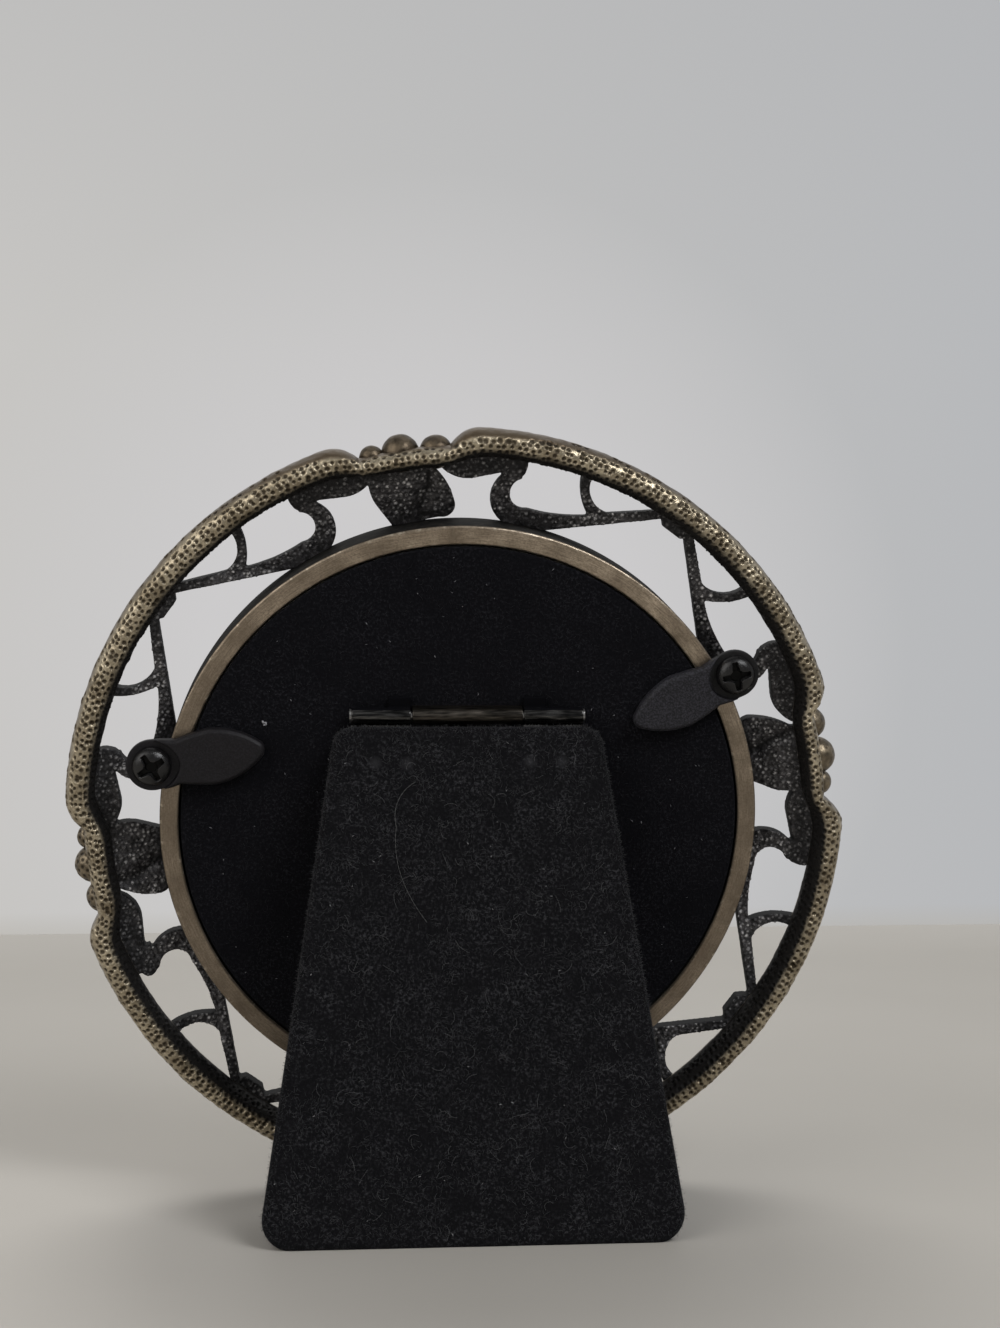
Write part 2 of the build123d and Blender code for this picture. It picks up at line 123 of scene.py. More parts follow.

# Where the ring is rubbed pale, by angle: from -1 at its inner side to 1 at its outer side. Part of this
# pale band is painted reflection, placed by angle where the brass catches the light
RUB_AND_SHEEN_ANGLES = (0, 50, 78, 90, 94, 104, 108, 130, 180, 225, 270, 315, 360)
RUB_AND_SHEEN_START = (-0.6, -0.75, -0.75, -0.67, -0.65, -0.68, -0.7, -0.8, -0.75, -0.65, -0.55, -0.45, -0.6)
RUB_AND_SHEEN_RISE = (0.55, 1.0, 0.6, 0.47, 0.45, 0.45, 0.45, 0.5, 0.5, 0.5, 0.5, 0.5, 0.55)
RUB_AND_SHEEN_END = (1.08, 1.1, 0.75, 0.62, 1.0, 1.0, 0.68, 1.08, 1.08, 1.1, 1.12, 1.1, 1.08)
RUB_AND_SHEEN_FALL = 0.45

# Scrollwork, a shallow cone with two screw posts
SCROLL_RIM_BACK = -7.4
SCROLL_RING_BACK = -4.3
SCROLL_THICKNESS = 2.0
SCROLL_VOXEL = 0.14
SCROLL_SMOOTHING = 6
POST_R = 2.0
POST_FOOT_R = 1.2
POST_AXIS_R = 42.2
POST_ANGLE = 20.5
POST_DEPTH = 8.0
NUB_R = 1.1
FRONT_ROUND = 1.6
FRONT_CARVE = 0.8

# Relief of the scrollwork. Veins and flutes have a width on the petals and one on the leaf pads
LUMP_HEIGHT = 0.07
ROUGH_HEIGHT = 0.08
GRAIN_PITCH = 0.68
GRAIN_STRAY = 0.17
GRAIN_R = (0.2, 0.38)
GRAIN_HEIGHT = 0.15
GRAIN_GLINT = 0.8
VALLEY_DEPTH = 0.6
VEIN_DEPTH = 0.2
VEIN_WIDTHS = (0.24, 0.22)
FLUTE_DEPTH = 0.3
FLUTE_WIDTHS = (0.75, 0.55)

# Painted shadow of the ring on the scrollwork's back: how dark it gets, and at which share of the band
RING_SHADOW = 0.66
RING_SHADOW_START = 0.58
RING_SHADOW_FADE = 0.28

# Berries of a motif: radius, angle from its middle, and how far each sits in from their circle
BERRIES = ((2.55, 0.6, 0.1), (2.25, -4.8, 0.4), (1.7, 5.0, 0.0))
BERRY_CIRCLE_R = RING_IN_R + 0.9
BERRY_Z = -4.2
BERRY_WAVE = 0.05
BERRY_RUB = (0.0, 1.0, 0.6, 0.9)
PIT_PITCH = 0.95
PIT_R = 0.36
PIT_DEPTH = 0.14
PIT_SHARE = (0.2, 1.0, 0.6, 0.3)

# Turn-buttons: turn and growth by side, and width by distance from the eye
BUTTON_TURN = {"left": 8.8, "right": 206.6}
BUTTON_GROWTH = {"left": 1.05, "right": 1.0}
BUTTON_EYE_SHARE = 0.9
BUTTON_SHARES = ((-4.0, 0.0, 2.0, 3.6, 5.5, 8.0, 15.1), (0.9, 0.9, 0.87, 0.79, 0.9, 1.0, 1.0))
BUTTON_VOXEL = 0.11

# Screws, with the turn of their cross by side
SCREW_TURN = {"left": 32, "right": 12}
SCREW_HEAD_R = 2.65
SCREW_HEAD_HEIGHT = 1.8
SCREW_HEAD_EDGE = 0.12
SCREW_SHANK_R = 1.1
SCREW_RINGS = 56
SCREW_COLUMNS = 180
CROSS_HALF_WIDTH = 0.64
CROSS_TAPER = 0.12
CROSS_REACH = 2.0
CROSS_CORE_R = 1.0
CROSS_DEPTH = SCREW_HEAD_HEIGHT / 1.5

# Hinge
HINGE_X = 0.6
HINGE_VOXEL = 0.1
HINGE_STOP_Y = 0.9
METAL_SMOOTHING = 3

# Velvet of the panel and of the leg
PANEL_R = 37.8
PANEL_EDGE = 0.3
PANEL_SINK = 0.05
PANEL_COLUMNS = 360
VELVET_THICKNESS = 0.6
LEG_TOP_GAP = 1.7
LEG_TOP_WIDTH = 35.4
LEG_FOOT_WIDTH = 54.8
LEG_TOP_CORNER = 2.8
LEG_FOOT_CORNER = 3.8
LEG_INNER_Z = 0.35
LEG_THICKNESS = 3.0
LEG_BACK_Z = LEG_INNER_Z + LEG_THICKNESS
LEG_COVER = 0.5
LEG_EDGE = 0.9
LEG_STEP = 0.8
LEG_WAVE = 0.05
LEG_RIPPLE = 0.035
RIVETS = ((-11.8, 8.5), (-7.6, 8.4), (8.7, 8.7), (13.0, 8.6))
RIVET_R = 0.8
RIVET_DENT = 0.16

# Loose fibres on the velvet: length and width
PILE = ((0.35, 1.1), (0.018, 0.04))
LINT = ((0.12, 0.5), (0.04, 0.13))
FUZZ = ((0.15, 0.6), (0.02, 0.04))
FUZZ_COUNT = 5200
FIBRE_SAG = 0.75
LINK_OVERLAP = 1.25
LEG_NAP_MARGIN = 0.5
FOOT_MARGIN = 1.2
PANEL_NAP_MARGIN = 1.0
WISP_MARGIN = 2.6
WISP_LINK = 0.28
WISP_WIDTH = 0.035
WISP_LIFT = 0.1

# Stage, in millimetres
STAGE_REACH = 3000.0
WALL_Y = 281.0
WORLD_COLOUR = (0.55, 0.555, 0.56)
WORLD_STRENGTH = 0.55

# Picture frame of the photo, and where its camera stood from the panel's centre
PHOTO_HEIGHT = 1328
FOCAL_PIXELS = 2000
SENSOR = 36.0
CAMERA_FROM_PANEL = Vector((-0.01655, -0.27166, 0.02155))
CAMERA_LOOKS = Vector((0.0803, 0.9968, 0.0))


def place_of(origin, back):
    """Matrix from millimetres on a plane, X right and Z along back, to the row frame in metres."""
    right = Vector((1, 0, 0))
    back = Vector(back).normalized()
    place = Matrix((right, back.cross(right), back)).transposed().to_4x4()
    place.translation = Vector(origin)
    return place @ Matrix.Scale(MM, 4)


def on_panel(point):
    """A point of the row frame in millimetres on the panel."""
    return PANEL.inverted() @ Vector(point)


PANEL = place_of(joints["panel_turn"]["pos_m"], joints["panel_turn"]["axis"])
STAGE = Matrix.Scale(MM, 4)
PIN = on_panel(joints["leg_fold"]["pos_m"])
PIN_HEIGHT = joints["leg_fold"]["pos_m"][2] / MM
LEG_ANGLE = joints["leg_fold"]["range_deg"][1]
LEG_SWING = Matrix.Rotation(radians(-LEG_ANGLE), 4, "X")
LEG = PANEL @ Matrix.Translation(PIN) @ LEG_SWING @ Matrix.Translation(-PIN)
LEG_SLOPE = radians(LEG_ANGLE - np.degrees(np.arcsin(-joints["panel_turn"]["axis"][2])))

# Place, body and slot of what lies on the velvet
ON_LEG = (LEG, "leg", "leg_cover")
ON_PANEL = (PANEL, "back_panel", "panel_velvet")


def smooth_step(value):
    """0 below 0, 1 above 1, and a smooth rise between."""
    value = np.clip(value, 0.0, 1.0)
    return value * value * (3 - 2 * value)


def dome(away):
    """1 at a centre, falling to 0 at a distance of 1."""
    return np.clip(1 - away**2, 0, 1)


def bell(away):
    """1 at a centre, falling off on all sides."""
    return np.exp(-(away**2))


def signed_power(value, power):
    """Power of a number's size, with its sign kept."""
    return np.sign(value) * np.abs(value) ** power


def unit(vectors):
    """Vectors of length 1."""
    return vectors / np.linalg.norm(vectors, axis=-1, keepdims=True)


def at_height(flat, height):
    """Flat points at one height."""
    return np.column_stack([flat, np.full(len(flat), height)])


def polar(radius, angle):
    """Point at an angle in degrees, anticlockwise from the X axis."""
    return Vector((radius * cos(radians(angle)), radius * sin(radians(angle))))


# Materials


class Nodes:
    """A material and a short way to write its nodes. Textures are in millimetres of a place."""

    def __init__(self, name, place=None):
        self.material = bpy.data.materials.new(name)
        self.material.use_nodes = True
        self.tree = self.material.node_tree
        if place is not None:
            self.spot = self.coords(place)

    def put(self, socket, value):
        """Link a socket, or set a number, vector or colour."""
        if isinstance(value, bpy.types.NodeSocket):
            self.tree.links.new(value, socket)
        elif socket.type == "RGBA":
            socket.default_value = (*value, 1.0)
        else:
            socket.default_value = value

    def node(self, kind, output, values, **settings):
        """Add a node, put values into its inputs and give one of its outputs."""
        node = self.tree.nodes.new("ShaderNode" + kind)
        for name, value in settings.items():
            setattr(node, name, value)
        for name, value in values.items():
            self.put(node.inputs[name], value)
        return node.outputs[output]

    def surface(self, colour, rough, bump=(), metal=0.0, gloss=0.5, **more):
        """Set the shader's inputs. A bump is a height, a distance and a strength."""
        values = {"Base_Color": colour, "Roughness": rough, "Metallic": metal, "Specular_IOR_Level": gloss}
        if bump:
            values["Normal"] = self.bump(*bump)
        shader = self.tree.nodes["Principled BSDF"]
        for name, value in {**values, **more}.items():
            self.put(shader.inputs[name.replace("_", " ")], value)
        return self.material

    def coords(self, place, stretch=None):
        """Coordinates in millimetres of a place, which can be stretched along its axes."""
        source = self.node("TexCoord", "Object", {})
        spot, spin, size = place.decompose()
        values = {"Vector": source, "Location": spot, "Rotation": spin.to_euler(), "Scale": size}
        spot = self.node("Mapping", "Vector", values, vector_type="TEXTURE")
        if stretch is None:
            return spot
        return self.node("Mapping", "Vector", {"Vector": spot, "Scale": stretch})

    def axis(self, vector, name):
        """One coordinate of a vector."""
        return self.node("SeparateXYZ", name, {"Vector": vector})

    def round_coords(self, radial, along):
        """Coordinates for marks that run round the place's centre: radial and along are scales."""
        flat = self.node("CombineXYZ", "Vector", {name: self.axis(self.spot, name) for name in "XY"})
        length = self.node("VectorMath", "Value", {0: flat}, operation="LENGTH")
        heading = self.node("VectorMath", "Vector", {0: flat}, operation="NORMALIZE")
        cosine, sine = (self.math("MULTIPLY", self.axis(heading, name), along) for name in "XY")
        values = {"X": self.math("MULTIPLY", length, radial), "Y": cosine, "Z": sine}
        return self.node("CombineXYZ", "Vector", values)

    def noise(self, scale, detail=3.0, roughness=0.55, vector=None):
        vector = self.spot if vector is None else vector
        values = {"Vector": vector, "Scale": scale, "Detail": detail, "Roughness": roughness}
        return self.node("TexNoise", "Fac", values)

    def away(self, point):
        """Distance from a point."""
        return self.node("VectorMath", "Value", {0: self.spot, 1: tuple(point)}, operation="DISTANCE")

    def attribute(self, name):
        return self.node("Attribute", "Fac", {}, attribute_name=name)

    def math(self, operation, first, second, clamp=False):
        return self.node("Math", "Value", {0: first, 1: second}, operation=operation, use_clamp=clamp)

    def span(self, value, low, high, to_low=0.0, to_high=1.0):
        """Carry low to high of a value over to another span, and hold it beyond."""
        ends = {"From Min": low, "From Max": high, "To Min": to_low, "To Max": to_high}
        return self.node("MapRange", "Result", {"Value": value, **ends})

    def mix(self, share, first, second):
        """Mix two colours. The node's sockets for colours are known by number only."""
        return self.node("Mix", 2, {0: share, 6: first, 7: second}, data_type="RGBA")

    def blend(self, value, low, high, first, second, most=1.0):
        """First colour where a value is low, and at most a share of the second where it is high."""
        return self.mix(self.span(value, low, high, 0.0, most), first, second)

    def bump(self, height, distance, strength=1.0):
        values = {"Height": height, "Distance": distance * MM, "Strength": strength}
        return self.node("Bump", "Normal", values)


def ring_brass():
    """Antique brass: dark in the dimples, rubbed pale between them, brown outside and black inside. The pale
    rub is partly painted reflection, and the black inside partly painted shade.
    """
    made = Nodes("ring_brass", PANEL)
    grain = made.noise(4.0)
    cavity = made.attribute("cavity")
    rubbed = made.blend(made.noise(0.3, 4), 0.35, 0.68, (0.265, 0.222, 0.155), (0.61, 0.532, 0.393))
    rubbed = made.blend(grain, 0.45, 0.7, rubbed, (0.16, 0.12, 0.078), 0.6)
    # Walls: brown on the outer side and near black on the inner wall, which is partly patina and partly
    # painted shade
    side = made.span(made.attribute("side"), 0.0, 1.0)
    walls = made.mix(side, (0.009, 0.008, 0.0075), (0.125, 0.094, 0.062))
    # The crown carries the pale rub: partly wear, partly painted reflection that follows the angle round the
    # ring
    ragged = made.math("ADD", made.attribute("crown"), made.span(grain, 0.3, 0.7, -0.16, 0.16))
    bright = made.span(ragged, 0.1, 0.9)
    deep = made.mix(bright, (0.007, 0.0065, 0.006), (0.032, 0.023, 0.015))
    colour = made.blend(cavity, 0.05, 0.65, made.mix(bright, walls, rubbed), deep, 0.88)
    metal = made.math("MAXIMUM", bright, made.math("MULTIPLY", side, 0.85))
    dull = made.span(metal, 0.0, 0.6, 0.7, 0.3)
    rough = made.math("MAXIMUM", made.span(cavity, 0.0, 0.8, 0.27, 0.5), dull)
    return made.surface(colour, rough, bump=(made.noise(9.0), 0.03), metal=metal, gloss=0.15)


def rim_brass():
    """Satin brass brushed round the rim's back, pale nicks on its edges, black patina on its walls, and
    painted shade on its back at some angles.
    """
    made = Nodes("rim_brass", PANEL)
    brush = made.noise(1.0, 4, 0.6, made.round_coords(12.0, 22.0))
    cloud = made.noise(0.22, 4)
    crown = made.attribute("crown")
    satin = made.blend(cloud, 0.3, 0.7, (0.27, 0.218, 0.163), (0.62, 0.515, 0.395))
    satin = made.blend(brush, 0.42, 0.64, satin, (0.14, 0.110, 0.081), 0.6)
    satin = made.blend(made.noise(3.2, 4, 0.7), 0.45, 0.7, satin, (0.15, 0.118, 0.085), 0.7)
    # Painted shade: the rim's back is darker at some angles
    satin = made.mix(made.attribute("dull"), satin, (0.13, 0.104, 0.078))
    nicks = made.span(made.noise(0.9), 0.58, 0.64, 0.0, 0.4)
    nicks = made.math("MULTIPLY", made.attribute("edge"), nicks)
    satin = made.mix(nicks, satin, (0.86, 0.77, 0.62))
    bezel = made.blend(cloud, 0.35, 0.68, (0.36, 0.298, 0.20), (0.50, 0.42, 0.285))
    satin = made.mix(made.attribute("fore"), satin, bezel)
    dark = made.blend(made.noise(1.1, 4), 0.4, 0.75, (0.008, 0.008, 0.008), (0.026, 0.023, 0.020))
    colour = made.mix(crown, dark, satin)
    rough = made.span(crown, 0.0, 1.0, 0.9, 0.38)
    return made.surface(colour, rough, bump=(brush, 0.03, 0.8), metal=crown, gloss=0.06)


def cast_black():
    """Black patina on rough cast metal, with a brassy rub on what stands out to the front, painted glints on
    the granules of its back, and painted shade in the petals' valleys and under the ring.
    """
    made = Nodes("cast_black", PANEL)
    cloud = made.noise(0.8, 4)
    grain = made.noise(4.5)
    wall = made.attribute("wall")
    front = made.attribute("front")
    dark = made.blend(cloud, 0.35, 0.7, (0.019, 0.0185, 0.0195), (0.070, 0.0665, 0.0685))
    dark = made.blend(made.noise(2.1, 4, 0.65), 0.5, 0.66, dark, (0.14, 0.135, 0.142))
    # Painted glints on the granules, near white
    glint = made.math("MULTIPLY", made.attribute("glint"), made.span(made.noise(3.1, 2), 0.4, 0.54))
    dark = made.mix(glint, dark, (0.95, 0.93, 0.935))
    # Near black on the walls, and painted shade in the valleys and under the ring
    dark = made.mix(wall, dark, (0.006, 0.006, 0.0065))
    worn = made.math("ADD", made.attribute("high"), made.span(cloud, 0.3, 0.7, -0.22, 0.22))
    rubbed = made.blend(worn, 0.2, 1.05, (0.040, 0.031, 0.020), (0.54, 0.455, 0.31))
    colour = made.mix(front, dark, rubbed)
    metal = made.span(front, 0.0, 1.0, 0.3, 0.9)
    dull = made.span(wall, 0.0, 1.0, 0.2, 0.8)
    rough = made.math("MAXIMUM", made.span(grain, 0.3, 0.7, 0.26, 0.44), dull)
    return made.surface(colour, rough, bump=(grain, 0.05, 0.8), metal=metal, gloss=0.3)


def berry_bronze():
    """Bronze of the berries, brassy where it is rubbed and dark in the dimples."""
    made = Nodes("berry_bronze", PANEL)
    cloud = made.noise(0.9, 4)
    brown = made.blend(cloud, 0.35, 0.65, (0.052, 0.040, 0.028), (0.14, 0.110, 0.076))
    brass = made.blend(cloud, 0.35, 0.65, (0.095, 0.077, 0.055), (0.27, 0.222, 0.156))
    colour = made.mix(made.attribute("rubbed"), brown, brass)
    colour = made.blend(made.attribute("cavity"), 0.1, 0.7, colour, (0.022, 0.017, 0.012), 0.9)
    rough = made.span(cloud, 0.3, 0.7, 0.30, 0.44)
    return made.surface(colour, rough, bump=(made.noise(5.0), 0.03), metal=0.95)


def velvet(name, place, deep, lit, sheen, patch, rubs=()):
    """Short-pile cloth: mottled by the lie of the pile, with a soft sheen and paler where it is rubbed."""
    made = Nodes(name, place)
    pile = made.noise(2.6, 5, 0.72)
    fibre = made.noise(1.0, 4, 0.65, made.coords(place, (4.5, 1.6, 3.0)))
    lie = made.span(made.noise(patch), 0.36, 0.64, 0.2, 1.1)
    lift = made.math("MULTIPLY", made.span(pile, 0.5, 0.78), lie)
    lift = made.math("ADD", lift, made.span(fibre, 0.6, 0.8, 0.0, 0.55), clamp=True)
    colour = made.mix(lift, deep, lit)
    for rub in rubs:
        colour = made.blend(made.away(rub), 1.1, 0.3, colour, lit, 0.28)
    return made.surface(
        colour, 0.95, bump=(made.math("ADD", pile, fibre), 0.25, 0.8), gloss=0.04,
        Sheen_Weight=sheen, Sheen_Roughness=0.45, Sheen_Tint=(0.75, 0.77, 0.85),
    )


def fibre_cloth(name, colour, gloss=0.2):
    """Single fibres of the pile and of lint, and other dull black."""
    return Nodes(name).surface(colour, 0.8, gloss=gloss)


def enamel(name, colour, sand, roughness, gloss, speckle=1.9, eye=None):
    """Black enamel over metal, with a fine sandy texture. Round an eye it is painted blacker, for the shade
    round a screw head in its recess.
    """
    made = Nodes(name, PANEL)
    grain = made.noise(4.2, 3, 0.6)
    lighter = tuple(speckle * value for value in colour)
    shade = made.blend(grain, 0.42, 0.66, colour, lighter)
    # Painted shade: blacker round the eye, where the screw head sits
    if eye is not None:
        shade = made.blend(made.away(eye), 3.9, 3.3, shade, (0.0075, 0.0072, 0.0076))
    rough = made.span(made.noise(0.9, 4), 0.3, 0.7, roughness - 0.06, roughness + 0.08)
    return made.surface(shade, rough, bump=(grain, sand), gloss=gloss)


def steel(name, dark, pale, roughness):
    """Blackened steel of the hinge, with streaks along its barrel."""
    made = Nodes(name, PANEL)
    streak = made.noise(1.0, 4, 0.6, made.coords(PANEL, (0.3, 3.0, 3.0)))
    colour = made.blend(streak, 0.4, 0.72, dark, pale)
    rough = made.span(made.noise(0.7), 0.3, 0.7, roughness - 0.05, roughness + 0.08)
    return made.surface(colour, rough, bump=(streak, 0.02, 0.6), metal=0.9)


def board(name, pale, dark):
    """Pressed board or card: flecks and a faint grain."""
    made = Nodes(name, PANEL)
    fleck = made.noise(2.2, 5, 0.7)
    colour = made.blend(fleck, 0.35, 0.7, dark, pale)
    rough = made.span(fleck, 0.3, 0.7, 0.75, 0.95)
    return made.surface(colour, rough, bump=(fleck, 0.04, 0.5))


def picture_glass():
    """Clear picture glass with a very faint wave."""
    made = Nodes("picture_glass", PANEL)
    wave = (made.noise(0.04, 2), 0.05, 0.3)
    return made.surface((0.97, 0.985, 0.98), 0.02, bump=wave, IOR=1.5, Transmission_Weight=1.0)


# Mesh helpers


def link(name, data):
    """Put data in the scene as an object."""
    thing = bpy.data.objects.new(name, data)
    bpy.context.scene.collection.objects.link(thing)
    return thing


def show(name, mesh, material, body, slot, *nodes):
    """Add a mesh in the row frame as a piece of a body that stands for some CAD nodes."""
    piece = link(name, mesh)
    mesh.shade_smooth()
    if not mesh.materials:
        mesh.materials.append(material)
    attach(piece, body)
    if nodes:
        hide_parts(*nodes)
    return piece


def new_mesh(name, points, faces, place):
    """Mesh of points and lists of faces, moved to a place."""
    mesh = bpy.data.meshes.new(name)
    mesh.from_pydata(points.tolist(), [], faces)
    mesh.transform(place)
    mesh.update()
    return mesh


def built(build, name):
    """Mesh of what has been built, which is then let go."""
    mesh = bpy.data.meshes.new(name)
    build.to_mesh(mesh)
    build.free()
    return mesh


def remeshed(rough, voxel, rounds):
    """Copy of a mesh as one skin with rounded edges."""
    carrier = link("carrier", rough)
    skin = carrier.modifiers.new("skin", "REMESH")
    skin.mode = "VOXEL"
    skin.voxel_size = voxel
    smooth = carrier.modifiers.new("smooth", "SMOOTH")
    smooth.factor = 0.5
    smooth.iterations = rounds
    graph = bpy.context.evaluated_depsgraph_get()
    made = bpy.data.meshes.new_from_object(carrier.evaluated_get(graph))
    bpy.data.objects.remove(carrier)
    return made


def grid_faces(columns, rows, closed=True):
    """Quads of a grid stored column by column. The rows close, and the columns do unless it is open."""
    column = np.arange(columns if closed else columns - 1)[:, None]
    row = np.arange(rows)
    after = (column + 1) % columns
    above = (row + 1) % rows
    corners = (column * rows + row, after * rows + row, after * rows + above, column * rows + above)
    return np.stack([corner.ravel() for corner in corners], axis=1)


def strip_map(mesh, columns, rows, strips, margin=0.02):
    """Map for a closed grid: its length is cut into strips that lie above each other."""
    layer = mesh.uv_layers.new(name="OFBake")
    column, row = np.divmod(np.arange(columns * rows), rows)
    per_strip = ceil(columns / strips)
    strip, along = np.divmod(column, per_strip)
    corners = []
    for add_column, add_row in ((0, 0), (1, 0), (1, 1), (0, 1)):
        across = (row + add_row) / rows * (1 - margin) / strips + strip / strips
        corners.append(np.stack([(along + add_column) / per_strip, across], axis=1))
    layer.uv.foreach_set("vector", np.stack(corners, axis=1).astype(np.float32).ravel())


def set_values(mesh, **values):
    """Store a number for each point under a name that materials read."""
    for name, numbers in values.items():
        layer = mesh.attributes.new(name, "FLOAT", "POINT")
        layer.data.foreach_set("value", np.asarray(numbers, np.float32).ravel())


def points_of(mesh, kind="co"):
    """Places of a mesh's points, or their normals."""
    values = np.empty(len(mesh.vertices) * 3, np.float32)
    mesh.vertices.foreach_get(kind, values)
    return values.reshape(-1, 3).astype(float)


def node_points(node):
    """Points of a CAD node in millimetres on the panel."""
    return np.array([on_panel(point) for point in points_of(frame["nodes"][node].data)])


def set_points(mesh, points):
    mesh.vertices.foreach_set("co", points.astype(np.float32).ravel())
    mesh.update()


def swell(mesh, move):
    """Move each point along its normal."""
    set_points(mesh, points_of(mesh) + points_of(mesh, "normal") * move[:, None])


def noise_at(points, scale, seed=0.0):
    """Smooth noise of about -1 to 1 at each point."""
    shift = Vector((seed, 2.7 * seed, -1.3 * seed))
    return np.array([noise.noise(Vector(point) * scale + shift) for point in points])


def nearest(points, spots):
    """Number of the spot that is nearest to each point in the plane, and how far away it is."""
    tree = kdtree.KDTree(len(spots))
    for number, (x, y) in enumerate(spots):
        tree.insert((x, y, 0), number)
    tree.balance()
    found = [tree.find((x, y, 0))[1:] for x, y, _ in points]
    return [np.array(column) for column in zip(*found)]


def arc(start, via, end, steps=10):
    """Points on the circle through three points, after the start."""
    begin, middle, finish = (complex(*point) for point in (start, via, end))
    ratio = (finish - begin) / (middle - begin)
    centre = begin + (middle - begin) * (ratio - abs(ratio) ** 2) / (2j * ratio.imag)
    arm = begin - centre
    sweep, part = (np.angle((point - centre) / arm) % (2 * pi) for point in (finish, middle))
    if part > sweep:
        sweep -= 2 * pi
    points = centre + arm * np.exp(1j * sweep * np.arange(1, steps + 1) / steps)
    return [(point.real, point.imag) for point in points]


def rounding(radius, turns):
    """How far a rounded edge lies in from its side and down from its top, at angles of its turn."""
    return [(radius * (1 - cos(radians(turn))), radius * (1 - sin(radians(turn)))) for turn in turns]


def lathed(profile, columns):
    """Radius and height of a profile turned round the panel's axis, and its points, column by column."""
    profile = np.array(profile)
    turn = np.arange(columns)[:, None] * 2 * pi / columns
    radius = profile[:, 0] + 0 * turn
    height = profile[:, 1] + 0 * turn
    points = np.stack([radius * np.cos(turn), radius * np.sin(turn), height], axis=-1)
    return radius, height, points.reshape(-1, 3)


# Outer ring


def motif_angle(quarter):
    """Angle of a motif's middle, anticlockwise from the X axis."""
    return 90 + CASTING_TURN + 90 * quarter + MOTIF_TURN[quarter]


def apart(angle, other):
    """How far two angles are from each other."""
    return np.abs((angle - other + 180) % 360 - 180)


def near(angle, middle, reach, fade):
    """1 within reach of a middle angle, fading to 0 beyond."""
    return 1 - smooth_step((apart(angle, middle) - reach) / fade)


def ring_edges(angle):
    """Inner and outer radius of the ring: it is notched and bows inwards behind the berries."""
    inner = RING_IN_R + 0 * angle
    outer = RING_OUT_R + 0 * angle
    for quarter, (neck, bow) in enumerate(zip(NECK_R, NECK_BOW)):
        middle = motif_angle(quarter)
        inner = inner - bow * near(angle, middle, BOW_ANGLE, BOW_FADE)
        rise = np.clip((apart(angle, middle) - NOTCH_ANGLE) / (SHOULDER_ANGLE - NOTCH_ANGLE), 0, 1)
        outer = np.minimum(outer, neck + (RING_OUT_R - neck) * (1 - (1 - rise) ** 2))
    return inner, outer


def ring_spot(angle, section):
    """Point on the ring at an angle and a section angle, 90 on the crest and 0 outside."""
    inner, outer = ring_edges(angle)
    across = signed_power(np.cos(np.radians(section)), RING_SQUARENESS)
    deep = signed_power(np.sin(np.radians(section)), RING_SQUARENESS)
    radius = inner + (outer - inner) * (across + 1) / 2
    height = RING_CENTRE_Z + RING_DEPTH / 2 * deep
    turn = np.radians(angle)
    return np.stack([radius * np.cos(turn), radius * np.sin(turn), height + 0 * turn], axis=-1)


def dimples(points):
    """How far points on the ring's back lie in a dimple, 0 to 1, and how far that moves them."""
    random = np.random.default_rng(11)
    cavity = np.zeros(points.shape[:2])
    push = np.zeros(points.shape[:2])
    for row in range(-len(WALL_DIMPLES), DIMPLE_ROWS):
        row_inset = DIMPLE_INSET + max(row, -1) * DIMPLE_ROW
        count = round(2 * pi * (RING_IN_R + row_inset) / DIMPLE_PITCH)
        for number in range(count):
            at = number + 0.5 * (row % 2) + random.uniform(-DIMPLE_SHIFT, DIMPLE_SHIFT)
            at *= 360 / count
            off = row_inset + random.uniform(-DIMPLE_STRAY, DIMPLE_STRAY)
            size = random.uniform(*DIMPLE_R)
            depth = random.uniform(*DIMPLE_DEPTH)
            inner, outer = ring_edges(at)
            bare = near(at, *SMOOTH_TOP)
            if apart(at, motif_angle(0)) < NOTCH_ANGLE + 1:
                bare *= SMOOTH_NECK_SHARE
            limit = outer - inner - DIMPLE_MARGIN - SMOOTH_TOP_MARGIN * bare
            if off > limit:
                continue
            if off > limit - DIMPLE_ROW:
                size *= 1 + BIG_DIMPLE_GROWTH * near(at, *BIG_DIMPLES)
            if row < 0:
                section = WALL_DIMPLES[row] + random.uniform(-WALL_DIMPLE_STRAY, WALL_DIMPLE_STRAY)
            else:
                across = 2 * off / (outer - inner) - 1
                section = np.degrees(acos(signed_power(across, 1 / RING_SQUARENESS)))
            column = round(at * RING_COLUMNS / 360)
            reach = ceil(DIMPLE_REACH * size * RING_COLUMNS / (2 * pi * RING_IN_R))
            window = np.arange(column - reach, column + reach + 1) % RING_COLUMNS
            away = np.linalg.norm(points[window] - ring_spot(at, section), axis=2) / size
            hole = dome(away) ** HOLLOW_POWER
            lip = DIMPLE_LIP * bell((away - DIMPLE_LIP_AT) / DIMPLE_LIP_WIDTH)
            cavity[window] = np.maximum(cavity[window], hole)
            push[window] += depth * (lip - hole)
    return cavity, push


